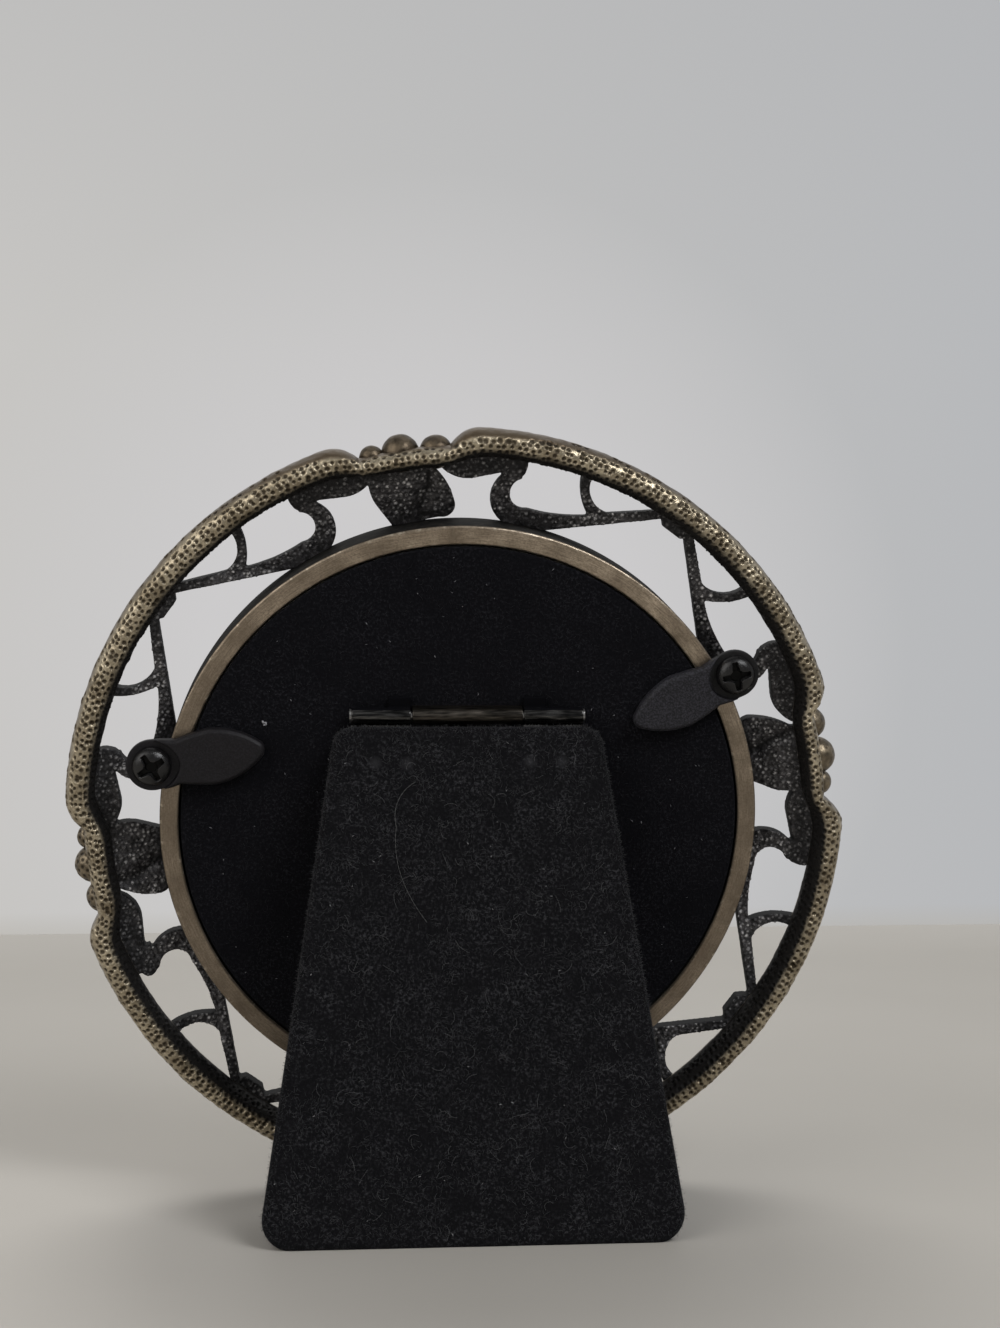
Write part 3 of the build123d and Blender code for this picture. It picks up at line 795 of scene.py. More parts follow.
def outer_ring():
    back_rows = np.linspace(5, 175, RING_BACK_ROWS, endpoint=False)
    front_rows = np.linspace(175, 365, RING_FRONT_ROWS, endpoint=False)
    section = np.concatenate([back_rows, front_rows])
    size = (RING_COLUMNS, len(section))
    angle = np.arange(RING_COLUMNS)[:, None] * 360 / RING_COLUMNS
    points = ring_spot(angle, section)
    along, round_it = (np.roll(points, -1, axis) - np.roll(points, 1, axis) for axis in (0, 1))
    normal = unit(np.cross(along, round_it)).reshape(-1, 3)
    on_back = dimples(points[:, :RING_BACK_ROWS])
    cavity, push = (np.pad(value, ((0, 0), (0, RING_FRONT_ROWS))) for value in on_back)
    points = points.reshape(-1, 3)
    wave = RING_WAVE * noise_at(points, 0.35, 3.0) + RING_RIPPLE * noise_at(points, 1.2, 8.0)
    push = push.ravel() + wave
    mesh = new_mesh("outer_ring", points + normal * push[:, None], grid_faces(*size).tolist(), PANEL)
    crest = np.sin(np.radians(section)) + 0 * angle
    outside = np.cos(np.radians(section)) + 0 * angle
    # Painted reflection with the rub: the pale band's place across the ring changes with the angle
    start, rise, end = (np.interp(angle, RUB_AND_SHEEN_ANGLES, row) for row in (RUB_AND_SHEEN_START, RUB_AND_SHEEN_RISE, RUB_AND_SHEEN_END))
    back = smooth_step((outside - start) / rise) * smooth_step((end - outside) / RUB_AND_SHEEN_FALL) * (crest > 0)
    front = smooth_step((-crest - 0.1) / 0.5) * 0.75
    # Side is 0 on the inner wall, painted near black partly as shade, and 1 on the outer side
    side = smooth_step((outside + 0.25) / 0.5)
    set_values(mesh, cavity=cavity, crown=np.maximum(back, front), side=side)
    strip_map(mesh, *size, RING_STRIPS)
    show("outer_ring", mesh, ring_brass(), *CASTING)


def inner_rim():
    bevel = rounding(RIM_BEVEL, (0, 22, 45, 68, 90))
    profile = [(SIGHT_R, LIP_TOP), (RIM_BORE_R - LIP_STEP, LIP_TOP), (RIM_BORE_R, LIP_TOP)]
    profile += [(RIM_BORE_R, LIP_TOP - share * (LIP_TOP + RIM_BEVEL)) for share in (0.3, 0.6, 0.85)]
    profile += [(RIM_BORE_R + off, -down) for off, down in bevel]
    flat = np.linspace(RIM_BORE_R + RIM_BEVEL, RIM_R - RIM_BEVEL, 12)[1:-1]
    profile += [(radius, 0.0) for radius in flat]
    profile += [(RIM_R - off, -down) for off, down in reversed(bevel)]
    profile += [(RIM_R, share * (RIM_FRONT + RIM_BEVEL) - RIM_BEVEL) for share in (0.15, 0.4, 0.7, 1.0)]
    crest = (RIM_BORE_R, RIM_FRONT - BEZEL_RISE)
    profile += arc((RIM_R, RIM_FRONT), crest, (SIGHT_R, (RIM_FRONT + LIP_TOP) / 2), 16)
    radius, height, points = lathed(profile, RIM_COLUMNS)
    edge = bell((radius - RIM_R) / 0.35) + bell((radius - RIM_BORE_R) / 0.25)
    edge = edge * smooth_step((height + 0.6) / 0.5)
    points[:, 2] -= RIM_DENT * np.clip(noise_at(points, 0.9, 4.0) - 0.25, 0, 1) * edge.ravel()
    mesh = new_mesh("inner_rim", points, grid_faces(*height.shape).tolist(), PANEL)
    back = smooth_step((height + 0.32) / 0.25)
    front = 0.8 * smooth_step((RIM_FRONT - 0.1 - height) / 0.6)
    fore = smooth_step(-6.0 - height)
    angle = np.arange(RIM_COLUMNS)[:, None] * 360 / RIM_COLUMNS
    # Painted shade on the rim's back, by angle
    dull = np.interp(angle, RIM_SHADE_ANGLES, RIM_SHADE) + 0 * height
    set_values(mesh, crown=np.maximum(back, front), edge=edge, fore=fore, dull=dull)
    strip_map(mesh, *height.shape, RIM_STRIPS)
    show("inner_rim", mesh, rim_brass(), *CASTING)


# Scrollwork


def spot(angle, share):
    """Point in the band, at an angle from a motif's axis: share 0 on the rim, 1 on the ring."""
    radius = RIM_R + share * BAND_WIDTH
    return (radius * sin(radians(angle)), radius * cos(radians(angle)))


def outline(start, *steps):
    """Closed outline from a start, by lines to a point or arcs through one point to another."""
    points = [spot(*start)]
    for step in steps:
        if isinstance(step[0], tuple):
            via, end = step
            points += arc(points[-1], spot(*via), spot(*end))
        else:
            points.append(spot(*step))
    return points


CURL = outline(
    (15.6, 0.73), ((14.1, 0.32), (17.8, -0.04)), (24.2, -0.03), (45.4, 1.23), (44.4, 1.3), (34.3, 0.61),
    ((27.4, 0.32), (21.0, 0.27)), ((17.4, 0.41), (18.9, 0.72)),
)
STRUT = outline((27.6, 1.16), ((28.5, 0.8), (32.2, 0.42)), (36.0, 0.66), ((29.9, 0.83), (29.7, 1.15)))
LEAF_PAD = outline(
    (5.1, 1.1), (5.4, 0.83), ((7.9, 0.66), (10.7, 0.64)), (15.4, 0.76), (15.6, 0.68), (18.6, 0.74),
    ((19.3, 0.92), (18.5, 1.1)), (11.5, 1.1),
)
PETAL = outline(
    (-5.7, 1.1), (-6.1, 0.86), ((-6.65, 0.64), (-6.3, 0.4)), (-4.0, -0.04), (1.6, -0.04), (2.0, 0.02),
    (4.8, 0.04), ((7.3, 0.1), (7.7, 0.28)), ((6.7, 0.52), (4.6, 0.8)), (4.5, 1.1),
)
NUB = [tuple(np.add(spot(17.9, 0.84), polar(NUB_R, turn))) for turn in range(0, 360, 20)]
KNOT_HALF = ((2.4, 1.2), (2.4, -1.2), (1.4, -2.1))
KNOT = [(x, BERRY_CIRCLE_R + y) for x, y in KNOT_HALF]
KNOT += [(-x, y) for x, y in reversed(KNOT)]

# Grooves, as points like those of the outlines
VALLEY = ((3.6, 0.8), (3.3, 0.62), (2.9, 0.45), (2.2, 0.32), (1.4, 0.2), (1.4, 0.02))
VEINS = (
    ((-1.2, 0.05), (-3.2, 0.35), (-4.9, 0.72)),
    ((-0.6, 0.1), (-1.6, 0.45), (-2.4, 0.88)),
    ((0.2, 0.1), (0.4, 0.5), (0.5, 0.95)),
    ((0.9, 0.1), (2.2, 0.4), (3.2, 0.85)),
    ((1.6, 0.1), (4.2, 0.24), (6.3, 0.34)),
)
PAD_VEINS = (
    ((7.0, 0.92), (11.0, 0.83), (17.6, 0.9)),
    ((10.0, 0.84), (12.6, 0.71)),
    ((13.2, 0.84), (15.8, 0.78)),
)


def add_plate(build, points, turn, flip=False):
    """Add an outline to a mesh being built as a plate, turned to its motif, and give the outline."""
    turned = Matrix.Rotation(radians(turn), 2)
    flat = [turned @ Vector((-x if flip else x, y)) for x, y in points]
    face = build.faces.new([build.verts.new(corner.to_3d()) for corner in flat])
    face.normal_update()
    if face.normal.z < 0:
        face.normal_flip()
    top = bmesh.ops.triangulate(build, faces=[face])["faces"]
    for corner in bmesh.ops.extrude_face_region(build, geom=top)["geom"]:
        if isinstance(corner, bmesh.types.BMVert):
            corner.co.z = -SCROLL_THICKNESS
    bmesh.ops.reverse_faces(build, faces=[face for face in top if face.is_valid])
    return np.array(flat)


def granules(points):
    """Height of the small granules on the back of the scrollwork, and how bright a painted glint each gets.
    """
    random = np.random.default_rng(23)
    reach = RING_OUT_R + 1
    row = np.arange(-reach, reach, GRAIN_PITCH * 0.86)
    x, y = np.meshgrid(np.arange(-reach, reach, GRAIN_PITCH), row)
    x = x + 0.5 * GRAIN_PITCH * (np.arange(len(row)) % 2)[:, None]
    spots = np.stack([x.ravel(), y.ravel()], axis=1)
    spots = spots + random.uniform(-GRAIN_STRAY, GRAIN_STRAY, spots.shape)
    far = np.hypot(*spots.T)
    spots = spots[(far > RIM_R - 1) & (far < RING_OUT_R)]
    number, away = nearest(points, spots)
    size = random.uniform(*GRAIN_R, len(spots))[number]
    rise = random.uniform(0.3, 1.0, len(spots))[number] * dome(away / size)
    # Painted glint: a pale spot on some granules
    rub = random.uniform(0, 1, len(spots))[number] ** 1.6 * dome(away / (GRAIN_GLINT * size))
    return rise, rub


def edge_distance(points, outlines, pitch=0.15):
    """Distance of each point from the nearest outline in the plane."""
    dense = []
    for corners in outlines:
        for start, end in zip(corners, np.roll(corners, -1, 0)):
            steps = max(2, ceil(np.linalg.norm(end - start) / pitch))
            dense.append(start + np.linspace(0, 1, steps)[:, None] * (end - start))
    return nearest(points, np.concatenate(dense))[1]


def groove_depth(points, lines, width, both_hands=False):
    """0 to 1 at each point: grooves along lines that are given from a motif's axis."""
    flat = points[:, :2]
    depth = np.zeros(len(points))
    for quarter in range(4):
        turned = Matrix.Rotation(radians(motif_angle(quarter) - 90), 2)
        hand = -1 if quarter % 2 else 1
        for side in (-hand, hand) if both_hands else (hand,):
            for groove in lines:
                line = [Vector((side * x, y)) for x, y in (spot(*point) for point in groove)]
                line = [np.array(turned @ point) for point in line]
                for start, end in zip(line, line[1:]):
                    along = end - start
                    share = np.clip((flat - start) @ along / (along @ along), 0, 1)
                    away = np.linalg.norm(flat - start - share[:, None] * along, axis=1)
                    depth = np.maximum(depth, bell(away / width))
    return depth


def vein_depth(points, widths):
    """Grooves along the veins of the petals and of the leaf pads."""
    on_petals = groove_depth(points, VEINS, widths[0])
    return np.maximum(on_petals, groove_depth(points, PAD_VEINS, widths[1], True))


def scrollwork():
    build = bmesh.new()
    outlines = []
    for quarter in range(4):
        turn = motif_angle(quarter) - 90
        for flip in (False, True):
            arm_turn = turn
            if quarter == 1 and flip:
                arm_turn = CASTING_TURN + 90 + LOWER_LEFT_CURL_TURN
            outlines += [add_plate(build, points, arm_turn, flip) for points in (CURL, STRUT, NUB)]
            outlines.append(add_plate(build, LEAF_PAD, turn, flip))
        outlines.append(add_plate(build, PETAL, turn, quarter % 2 == 1))
        outlines.append(add_plate(build, KNOT, CASTING_TURN + 90 * quarter + 45))
    bmesh.ops.recalc_face_normals(build, faces=build.faces)
    for corner in build.verts:
        share = (corner.co.xy.length - RIM_R) / BAND_WIDTH
        corner.co.z += SCROLL_RIM_BACK + share * (SCROLL_RING_BACK - SCROLL_RIM_BACK)
    for angle in (POST_ANGLE, 180 - POST_ANGLE):
        axis = polar(POST_AXIS_R, angle + CASTING_TURN)
        bmesh.ops.create_cone(
            build, cap_ends=True, segments=64, radius1=POST_FOOT_R, radius2=POST_R, depth=POST_DEPTH,
            matrix=Matrix.Translation((axis.x, axis.y, -POST_DEPTH / 2)),
        )
    mesh = remeshed(built(build, "scrollwork_rough"), SCROLL_VOXEL, SCROLL_SMOOTHING)
    points = points_of(mesh)
    facing = points_of(mesh, "normal")[:, 2]
    share = (np.hypot(points[:, 0], points[:, 1]) - RIM_R) / BAND_WIDTH
    back = smooth_step((facing - 0.35) / 0.4)
    front = smooth_step((-facing - 0.25) / 0.5)
    rough = back * smooth_step((share * BAND_WIDTH - 0.9) / 0.8)
    # The rub of each granule is its painted glint
    rise, rub = granules(points)
    round_off = np.sqrt(dome(1 - np.clip(edge_distance(points, outlines) / FRONT_ROUND, 0, 1)))
    carved = vein_depth(points, VEIN_WIDTHS)
    fluted = vein_depth(points, FLUTE_WIDTHS)
    move = LUMP_HEIGHT * noise_at(points, 0.6, 2.0) * (0.4 + 0.6 * back)
    move += (GRAIN_HEIGHT * rise + ROUGH_HEIGHT * noise_at(points, 1.5, 5.0)) * rough
    move -= VALLEY_DEPTH * groove_depth(points, [VALLEY], 1.0) * back
    move -= (FRONT_CARVE * (1 - round_off) + VEIN_DEPTH * carved + FLUTE_DEPTH * fluted) * front
    swell(mesh, move)
    wall = smooth_step((0.75 - np.abs(facing)) / 0.4)
    # Painted shade in the valley between the petal's lobes, carried by the wall mark
    wall = np.maximum(wall, 0.75 * groove_depth(points, [VALLEY], 0.5) * back)
    # Painted shadow of the ring, darkest next to it
    pad = RING_SHADOW * smooth_step((share - RING_SHADOW_START) / RING_SHADOW_FADE) * back
    high = 0.45 + 0.55 * round_off - 0.5 * carved - 0.3 * fluted
    # The wall mark holds the near-black walls, the valley's painted shade and the ring's painted shadow
    set_values(mesh, front=front, glint=rub * rough, wall=np.maximum(wall, pad), high=high)
    mesh.transform(PANEL)
    show("scrollwork", mesh, cast_black(), *CASTING)


def pits(points, radius):
    """0 to 1 at points on a ball: dimples spread evenly over its back."""
    count = round(4 * pi * (radius / PIT_PITCH) ** 2)
    number = np.arange(count) + 0.5
    height = 1 - 2 * number / count
    turn = number * pi * (3 - sqrt(5))
    flat = np.sqrt(1 - height**2)
    spots = radius * np.stack([flat * np.cos(turn), flat * np.sin(turn), height], axis=1)
    away = np.linalg.norm(points[:, None] - spots[None], axis=2).min(axis=1)
    return smooth_step(2.5 * points[:, 2] / radius + 0.8) * dome(away / PIT_R) ** HOLLOW_POWER


def berries():
    build = bmesh.new()
    cavity = []
    rubbed = []
    for hand, first in ((1, 0), (-1, 1)):
        for radius, angle, drop in BERRIES:
            for quarter in (first, first + 2):
                at = polar(BERRY_CIRCLE_R - drop, motif_angle(quarter) + hand * angle)
                centre = Vector((at.x, at.y, BERRY_Z))
                place = Matrix.Translation(centre)
                ball = bmesh.ops.create_icosphere(build, subdivisions=5, radius=radius, matrix=place)
                from_centre = np.array([corner.co - centre for corner in ball["verts"]])
                cavity.append(PIT_SHARE[quarter] * pits(from_centre, radius))
                rubbed += [BERRY_RUB[quarter]] * len(from_centre)
    mesh = built(build, "berries")
    cavity = np.concatenate(cavity)
    swell(mesh, BERRY_WAVE * noise_at(points_of(mesh), 0.8, 6.0) - PIT_DEPTH * cavity)
    set_values(mesh, cavity=cavity, rubbed=rubbed)
    mesh.transform(PANEL)
    show("berries", mesh, berry_bronze(), *CASTING)


# Velvet


def foot_y(height):
    """Lowest Y of the leg at a height above the panel, where its foot meets the table."""
    return PIN.y - (PIN_HEIGHT + sin(LEG_SLOPE) * (height - PIN.z)) / cos(LEG_SLOPE)


LEG_END_Y = foot_y(LEG_BACK_Z)


def leg_outline():
    """Outline of the leg, anticlockwise from its foot's left corner, with rounded corners."""
    top = PIN.y - LEG_TOP_GAP
    corners = [
        (HINGE_X - LEG_FOOT_WIDTH / 2, LEG_END_Y, LEG_FOOT_CORNER),
        (HINGE_X + LEG_FOOT_WIDTH / 2, LEG_END_Y, LEG_FOOT_CORNER),
        (HINGE_X + LEG_TOP_WIDTH / 2, top, LEG_TOP_CORNER),
        (HINGE_X - LEG_TOP_WIDTH / 2, top, LEG_TOP_CORNER),
    ]
    points = []
    for number, (x, y, radius) in enumerate(corners):
        here = Vector((x, y))
        before = (Vector(corners[number - 1][:2]) - here).normalized()
        after = (Vector(corners[(number + 1) % 4][:2]) - here).normalized()
        half = before.angle(after) / 2
        run = radius / np.tan(half)
        centre = here + (before + after).normalized() * radius / sin(half)
        via = centre + (here - centre).normalized() * radius
        begin = tuple(here + before * run)
        points += [begin] + arc(begin, tuple(via), tuple(here + after * run), 8)
    filled = []
    for number, point in enumerate(points):
        step = np.subtract(points[(number + 1) % len(points)], point)
        parts = max(1, round(np.hypot(*step) / LEG_STEP))
        filled += [np.add(point, step * part / parts) for part in range(parts)]
    return np.array(filled)


def inset(points, amount):
    """Outline moved inwards by an amount, for an anticlockwise outline with gentle turns."""
    along = unit(np.roll(points, -1, 0) - np.roll(points, 1, 0))
    return points + amount * np.stack([-along[:, 1], along[:, 0]], axis=1)


def leg_cover():
    edge = leg_outline()
    count = len(edge)
    lining = inset(edge, LEG_COVER)
    rings = [(lining, LEG_BACK_Z - LEG_COVER), (lining, LEG_INNER_Z), (inset(edge, 0.15), LEG_INNER_Z)]
    rings += [(edge, height) for height in np.linspace(LEG_INNER_Z + 0.2, LEG_BACK_Z - LEG_EDGE, 4)]
    for off, down in rounding(LEG_EDGE, range(15, 91, 15)):
        rings.append((inset(edge, off), LEG_BACK_Z - down))
    middle = edge.mean(axis=0)
    inner = inset(edge, LEG_EDGE)
    rings += [(middle + (inner - middle) * share, LEG_BACK_Z) for share in np.linspace(0.97, 0.03, 46)]
    points = np.concatenate([at_height(flat, height) for flat, height in rings])
    foot = foot_y(points[:, 2]) + np.where(points[:, 2] > LEG_INNER_Z + 0.1, 0.0, 0.1)
    points[:, 1] = np.maximum(points[:, 1], foot)
    on_back = points[:, 2] > LEG_BACK_Z - 1e-6
    for x, y in RIVETS:
        away = np.hypot(points[:, 0] - x, points[:, 1] - y)
        points[:, 2] -= on_back * RIVET_DENT * bell((away / RIVET_R) ** 2)
    wave = LEG_WAVE * noise_at(points, 0.25, 1.0) + LEG_RIPPLE * noise_at(points, 1.3, 2.0)
    points[:, 2] += on_back * wave
    faces = np.roll(grid_faces(len(rings), count, False)[:, ::-1], 1, axis=1).tolist()
    faces += [list(range(count))[::-1], list(range(len(points) - count, len(points)))]
    mesh = new_mesh("leg_cover", points, faces, LEG)
    rubs = [(x, y, LEG_BACK_Z) for x, y in RIVETS]
    deep, lit = (0.0056, 0.0056, 0.0064), (0.064, 0.064, 0.070)
    cloth = velvet("leg_velvet_cloth", LEG, deep, lit, sheen=0.05, patch=0.26, rubs=rubs)
    show("leg_cover", mesh, cloth, "leg", "leg_cover", "leg_velvet")


def panel_cover():
    profile = [(PANEL_R - 0.6, -VELVET_THICKNESS), (PANEL_R, -VELVET_THICKNESS)]
    profile += [(PANEL_R - off, -down) for off, down in rounding(PANEL_EDGE, (0, 30, 60, 90))]
    profile += [(radius, 0.0) for radius in np.linspace(PANEL_R - 0.8, 1.0, 48)]
    profile += [(radius, -VELVET_THICKNESS) for radius in (1.0, 12.0, 24.0)]
    _, height, points = lathed(profile, PANEL_COLUMNS)
    on_back = points[:, 2] > -0.01
    points[:, 2] -= on_back * PANEL_SINK * (1 + noise_at(points, 0.2, 3.0))
    mesh = new_mesh("panel_cover", points, grid_faces(*height.shape).tolist(), PANEL)
    deep, lit = (0.0052, 0.0052, 0.0066), (0.032, 0.032, 0.038)
    cloth = velvet("panel_velvet_cloth", PANEL, deep, lit, sheen=0.018, patch=0.10)
    show("panel_cover", mesh, cloth, "back_panel", "panel_velvet", "back_velvet")


# Loose fibres


def fibres(name, on, colours, roots, directions, lengths, widths, bends=0.0, kinds=0):
    """Fibres as closed spindles of two rings between pointed ends. Each kind has a colour."""
    place, body, slot = on
    count = len(roots)
    along = np.broadcast_to(lengths, count)[:, None] * directions
    wide = np.broadcast_to(widths, count)[:, None] / 2
    random = np.random.default_rng(5)
    side = unit(np.cross(directions, random.normal(size=(count, 3))))
    other = np.cross(directions, side)
    rows = [roots]
    for share in (0.33, 0.67):
        centre = roots + along * share + bends * FIBRE_SAG
        for turn in (0, 120, 240):
            rows.append(centre + (side * cos(radians(turn)) + other * sin(radians(turn))) * wide)
    rows.append(roots + along)
    points = np.stack(rows, axis=1).reshape(-1, 3)
    tips = [(0, 2, 1), (0, 3, 2), (0, 1, 3), (4, 5, 7), (5, 6, 7), (6, 4, 7)]
    sides = [(1, 2, 5, 4), (2, 3, 6, 5), (3, 1, 4, 6)]
    first = len(rows) * np.arange(count)[:, None, None]
    faces = [face for part in (tips, sides) for fibre in (first + np.array(part)).tolist() for face in fibre]
    mesh = new_mesh(name, points, faces, place)
    kinds = np.broadcast_to(kinds, count)
    which = np.concatenate([np.repeat(kinds, len(tips)), np.repeat(kinds, len(sides))])
    mesh.polygons.foreach_set("material_index", which.astype(np.int32))
    for kind, colour in colours.items():
        mesh.materials.append(fibre_cloth(f"{name}_{kind}", colour))
    show(name, mesh, None, body, slot)


def inside(points, edge):
    """Which points lie inside an outline."""
    x, y = points.T
    found = np.zeros(len(points), bool)
    for (ax, ay), (bx, by) in zip(edge, np.roll(edge, -1, 0)):
        crosses = (ay > y) != (by > y)
        found ^= crosses & (x < ax + (bx - ax) * (y - ay) / (by - ay + 1e-12))
    return found


def clumps(flat):
    """Which points lie where the leg's pile stands in clumps."""
    points = at_height(flat, 0.0)
    return noise_at(points, 0.32, 4.0) + 0.7 * noise_at(points, 0.9, 7.0) > -0.05


def leg_fuzz(colour):
    """Pile that stands out past the leg's rounded edges."""
    random = np.random.default_rng(31)
    edge = leg_outline()
    chosen = random.integers(0, len(edge), FUZZ_COUNT)
    slide = random.uniform(0, 1, FUZZ_COUNT)[:, None]
    flat = edge[chosen] * (1 - slide) + edge[(chosen + 1) % len(edge)] * slide
    out = (edge - inset(edge, 1.0))[chosen]
    keep = flat[:, 1] > LEG_END_Y + 1.0
    flat, out = flat[keep], out[keep]
    total = len(flat)
    turn = np.radians(random.uniform(0, 85, total))[:, None]
    away = np.column_stack([out * np.cos(turn), np.sin(turn)])
    roots = at_height(flat - out * LEG_EDGE, LEG_BACK_Z - LEG_EDGE) + away * (LEG_EDGE - 0.05)
    directions = unit(away + random.normal(0, 0.7, (total, 3)))
    lengths, widths = (random.uniform(*ends, total) for ends in FUZZ)
    bends = random.normal(size=(total, 3)) * (0.15 * lengths)[:, None]
    fibres("leg_fuzz", ON_LEG, {"pile": colour}, roots, directions, lengths, widths, bends)


def nap(name, on, count, lint, accept, box, height, headroom, pile, pale):
    """Loose pile and lint that lie on a velvet face and rise no more than the headroom over it."""
    random = np.random.default_rng(count)
    flat = random.uniform(*box, size=(3 * count, 2))
    flat = flat[accept(flat)][: count + lint]
    total = len(flat)
    heading = random.uniform(0, 2 * pi, total)
    rise = np.abs(random.normal(0.12, 0.18, total))
    kinds = np.where(np.arange(total) < count, 0, 1)
    sizes = ([random.uniform(*ends, total) for ends in both] for both in zip(PILE, LINT))
    lengths, widths = (np.choose(kinds, size) for size in sizes)
    bends = random.normal(size=(total, 3)) * (0.12 * lengths)[:, None]
    bends[:, 2] = np.minimum(np.abs(bends[:, 2]) * 0.4, headroom / 3)
    rise = np.minimum(rise, headroom / lengths)
    directions = unit(np.column_stack([np.cos(heading), np.sin(heading), rise]))
    roots = at_height(flat, height)
    fibres(name, on, {"pile": pile, "lint": pale}, roots, directions, lengths, widths, bends, kinds)


def wisps(name, count, colour):
    """Curled fibres that lie loosely on the leg's back, each a chain of short links."""
    random = np.random.default_rng(41)
    edge = inset(leg_outline(), WISP_MARGIN)
    flat = random.uniform(edge.min(axis=0), edge.max(axis=0), (4 * count, 2))
    starts = []
    headings = []
    for head in flat[inside(flat, edge) & clumps(flat)][:count]:
        heading = random.uniform(0, 2 * pi)
        curl = random.uniform(-0.5, 0.5)
        for _ in range(random.integers(3, 9)):
            starts.append(head)
            headings.append((cos(heading), sin(heading)))
            head = head + WISP_LINK * np.array(headings[-1])
            heading += curl + random.normal(0, 0.15)
    roots = at_height(starts, LEG_BACK_Z + WISP_LIFT)
    directions = at_height(headings, 0.0)
    fibres(name, ON_LEG, {"fibre": colour}, roots, directions, LINK_OVERLAP * WISP_LINK, WISP_WIDTH)


def stray_fibre(name, on, corners, height, width, colour):
    """One long fibre or a speck of lint that lies on a velvet face, through corners."""
    points = at_height(corners, height)
    steps = np.diff(points, axis=0)
    lengths = LINK_OVERLAP * np.linalg.norm(steps, axis=1)
    fibres(name, on, {"fibre": colour}, points[:-1], unit(steps), lengths, width)


# Small metal pieces, glass and card


def softened(node, voxel):
    """Copy of a CAD node with rounded edges, in millimetres on the panel."""
    rough = frame["nodes"][node].data.copy()
    rough.transform(PANEL.inverted())
    build = bmesh.new()
    build.from_mesh(rough)
    bmesh.ops.remove_doubles(build, verts=build.verts, dist=0.001)
    return remeshed(built(build, node), voxel, METAL_SMOOTHING)


def eye_of(side):
    """Axis of a turn-button in millimetres on the panel."""
    return on_panel(joints[f"button_{side}_turn"]["pos_m"])


def button(side, material):
    """Turn-button with a waist behind its eye."""
    mesh = softened(f"turn_button_{side}", BUTTON_VOXEL)
    points = points_of(mesh)
    eye = np.array(eye_of(side).xy)
    turned = np.array(Matrix.Rotation(radians(BUTTON_TURN[side]), 2))
    local = (points[:, :2] - eye) @ turned
    growth = BUTTON_GROWTH[side]
    along = np.where(local[:, 0] < 0, BUTTON_EYE_SHARE * growth, 1)
    local *= np.column_stack([along, growth * np.interp(local[:, 0], *BUTTON_SHARES)])
    points[:, :2] = local @ turned.T + eye
    set_points(mesh, points)
    mesh.transform(PANEL)
    show(f"button_{side}_leaf", mesh, material, f"button_{side}", "button_black", f"turn_button_{side}")


def screw_head(side, materials):
    """Pan-head screw with a cross recess, on the axis of a turn-button."""
    node = f"turn_screw_{side}"
    heights = node_points(node)[:, 2]
    base = heights.max() - SCREW_HEAD_HEIGHT
    radius = np.linspace(0.012, 1.0, SCREW_RINGS)[:, None] * SCREW_HEAD_R
    angle = np.arange(SCREW_COLUMNS) * 2 * pi / SCREW_COLUMNS
    x, y = radius * np.cos(angle), radius * np.sin(angle)
    long = np.maximum(np.abs(x), np.abs(y))
    short = np.minimum(np.abs(x), np.abs(y))
    arm = smooth_step((CROSS_HALF_WIDTH - CROSS_TAPER * long - short) / 0.2)
    arm = arm * smooth_step((CROSS_REACH - long) / 0.25)
    core = smooth_step((CROSS_CORE_R - radius) / 0.3)
    sunk = np.maximum(arm * (1.05 - 0.15 * long), 1.1 * core)
    bulge = (1 - np.clip(radius / SCREW_HEAD_R, 0, 1) ** 3.0) ** (1 / 2.2)
    height = base + SCREW_HEAD_EDGE + (SCREW_HEAD_HEIGHT - SCREW_HEAD_EDGE) * bulge - sunk * CROSS_DEPTH
    layers = list(np.stack([x, y, height], axis=2))
    shank = layers[-1][:, :2] * (SCREW_SHANK_R / SCREW_HEAD_R)
    layers += [at_height(layers[-1][:, :2], base), at_height(shank, base), at_height(shank, heights.min())]
    points = np.concatenate(layers)
    faces = grid_faces(len(layers), SCREW_COLUMNS, False).tolist()
    faces += [list(range(SCREW_COLUMNS)), list(range(len(points) - SCREW_COLUMNS, len(points)))[::-1]]
    place = PANEL @ Matrix.Translation((*eye_of(side).xy, 0))
    turned = Matrix.Rotation(radians(SCREW_TURN[side]), 4, "Z")
    mesh = new_mesh(f"screw_{side}", points, faces, place @ turned)
    for material in materials:
        mesh.materials.append(material)
    # Faces in the cross recess get the darkest enamel as painted shade; its walls a paler, glossier one,
    # partly a painted highlight
    opened = np.pad(np.maximum(arm, core), ((0, 3), (0, 0)))
    level = (opened[:-1] + opened[1:]).ravel() / 2
    which = np.append(np.digitize(level, (0.12, 0.7)), [2, 0])
    mesh.polygons.foreach_set("material_index", which.astype(np.int32))
    show(f"screw_{side}", mesh, None, "frame", "screw_black", node)


def hinge(name, node, body, wobble, metal, stops=None):
    """Hinge leaf with its knuckles, a little uneven. Its stops can have another material."""
    mesh = softened(node, HINGE_VOXEL)
    swell(mesh, wobble * noise_at(points_of(mesh), 0.55, 9.0))
    mesh.materials.append(metal)
    if stops is not None:
        mesh.materials.append(stops)
        for face in mesh.polygons:
            face.material_index = int(face.center.y > PIN.y + HINGE_STOP_Y)
    mesh.transform(PANEL)
    show(name, mesh, None, body, "dark_steel", node)


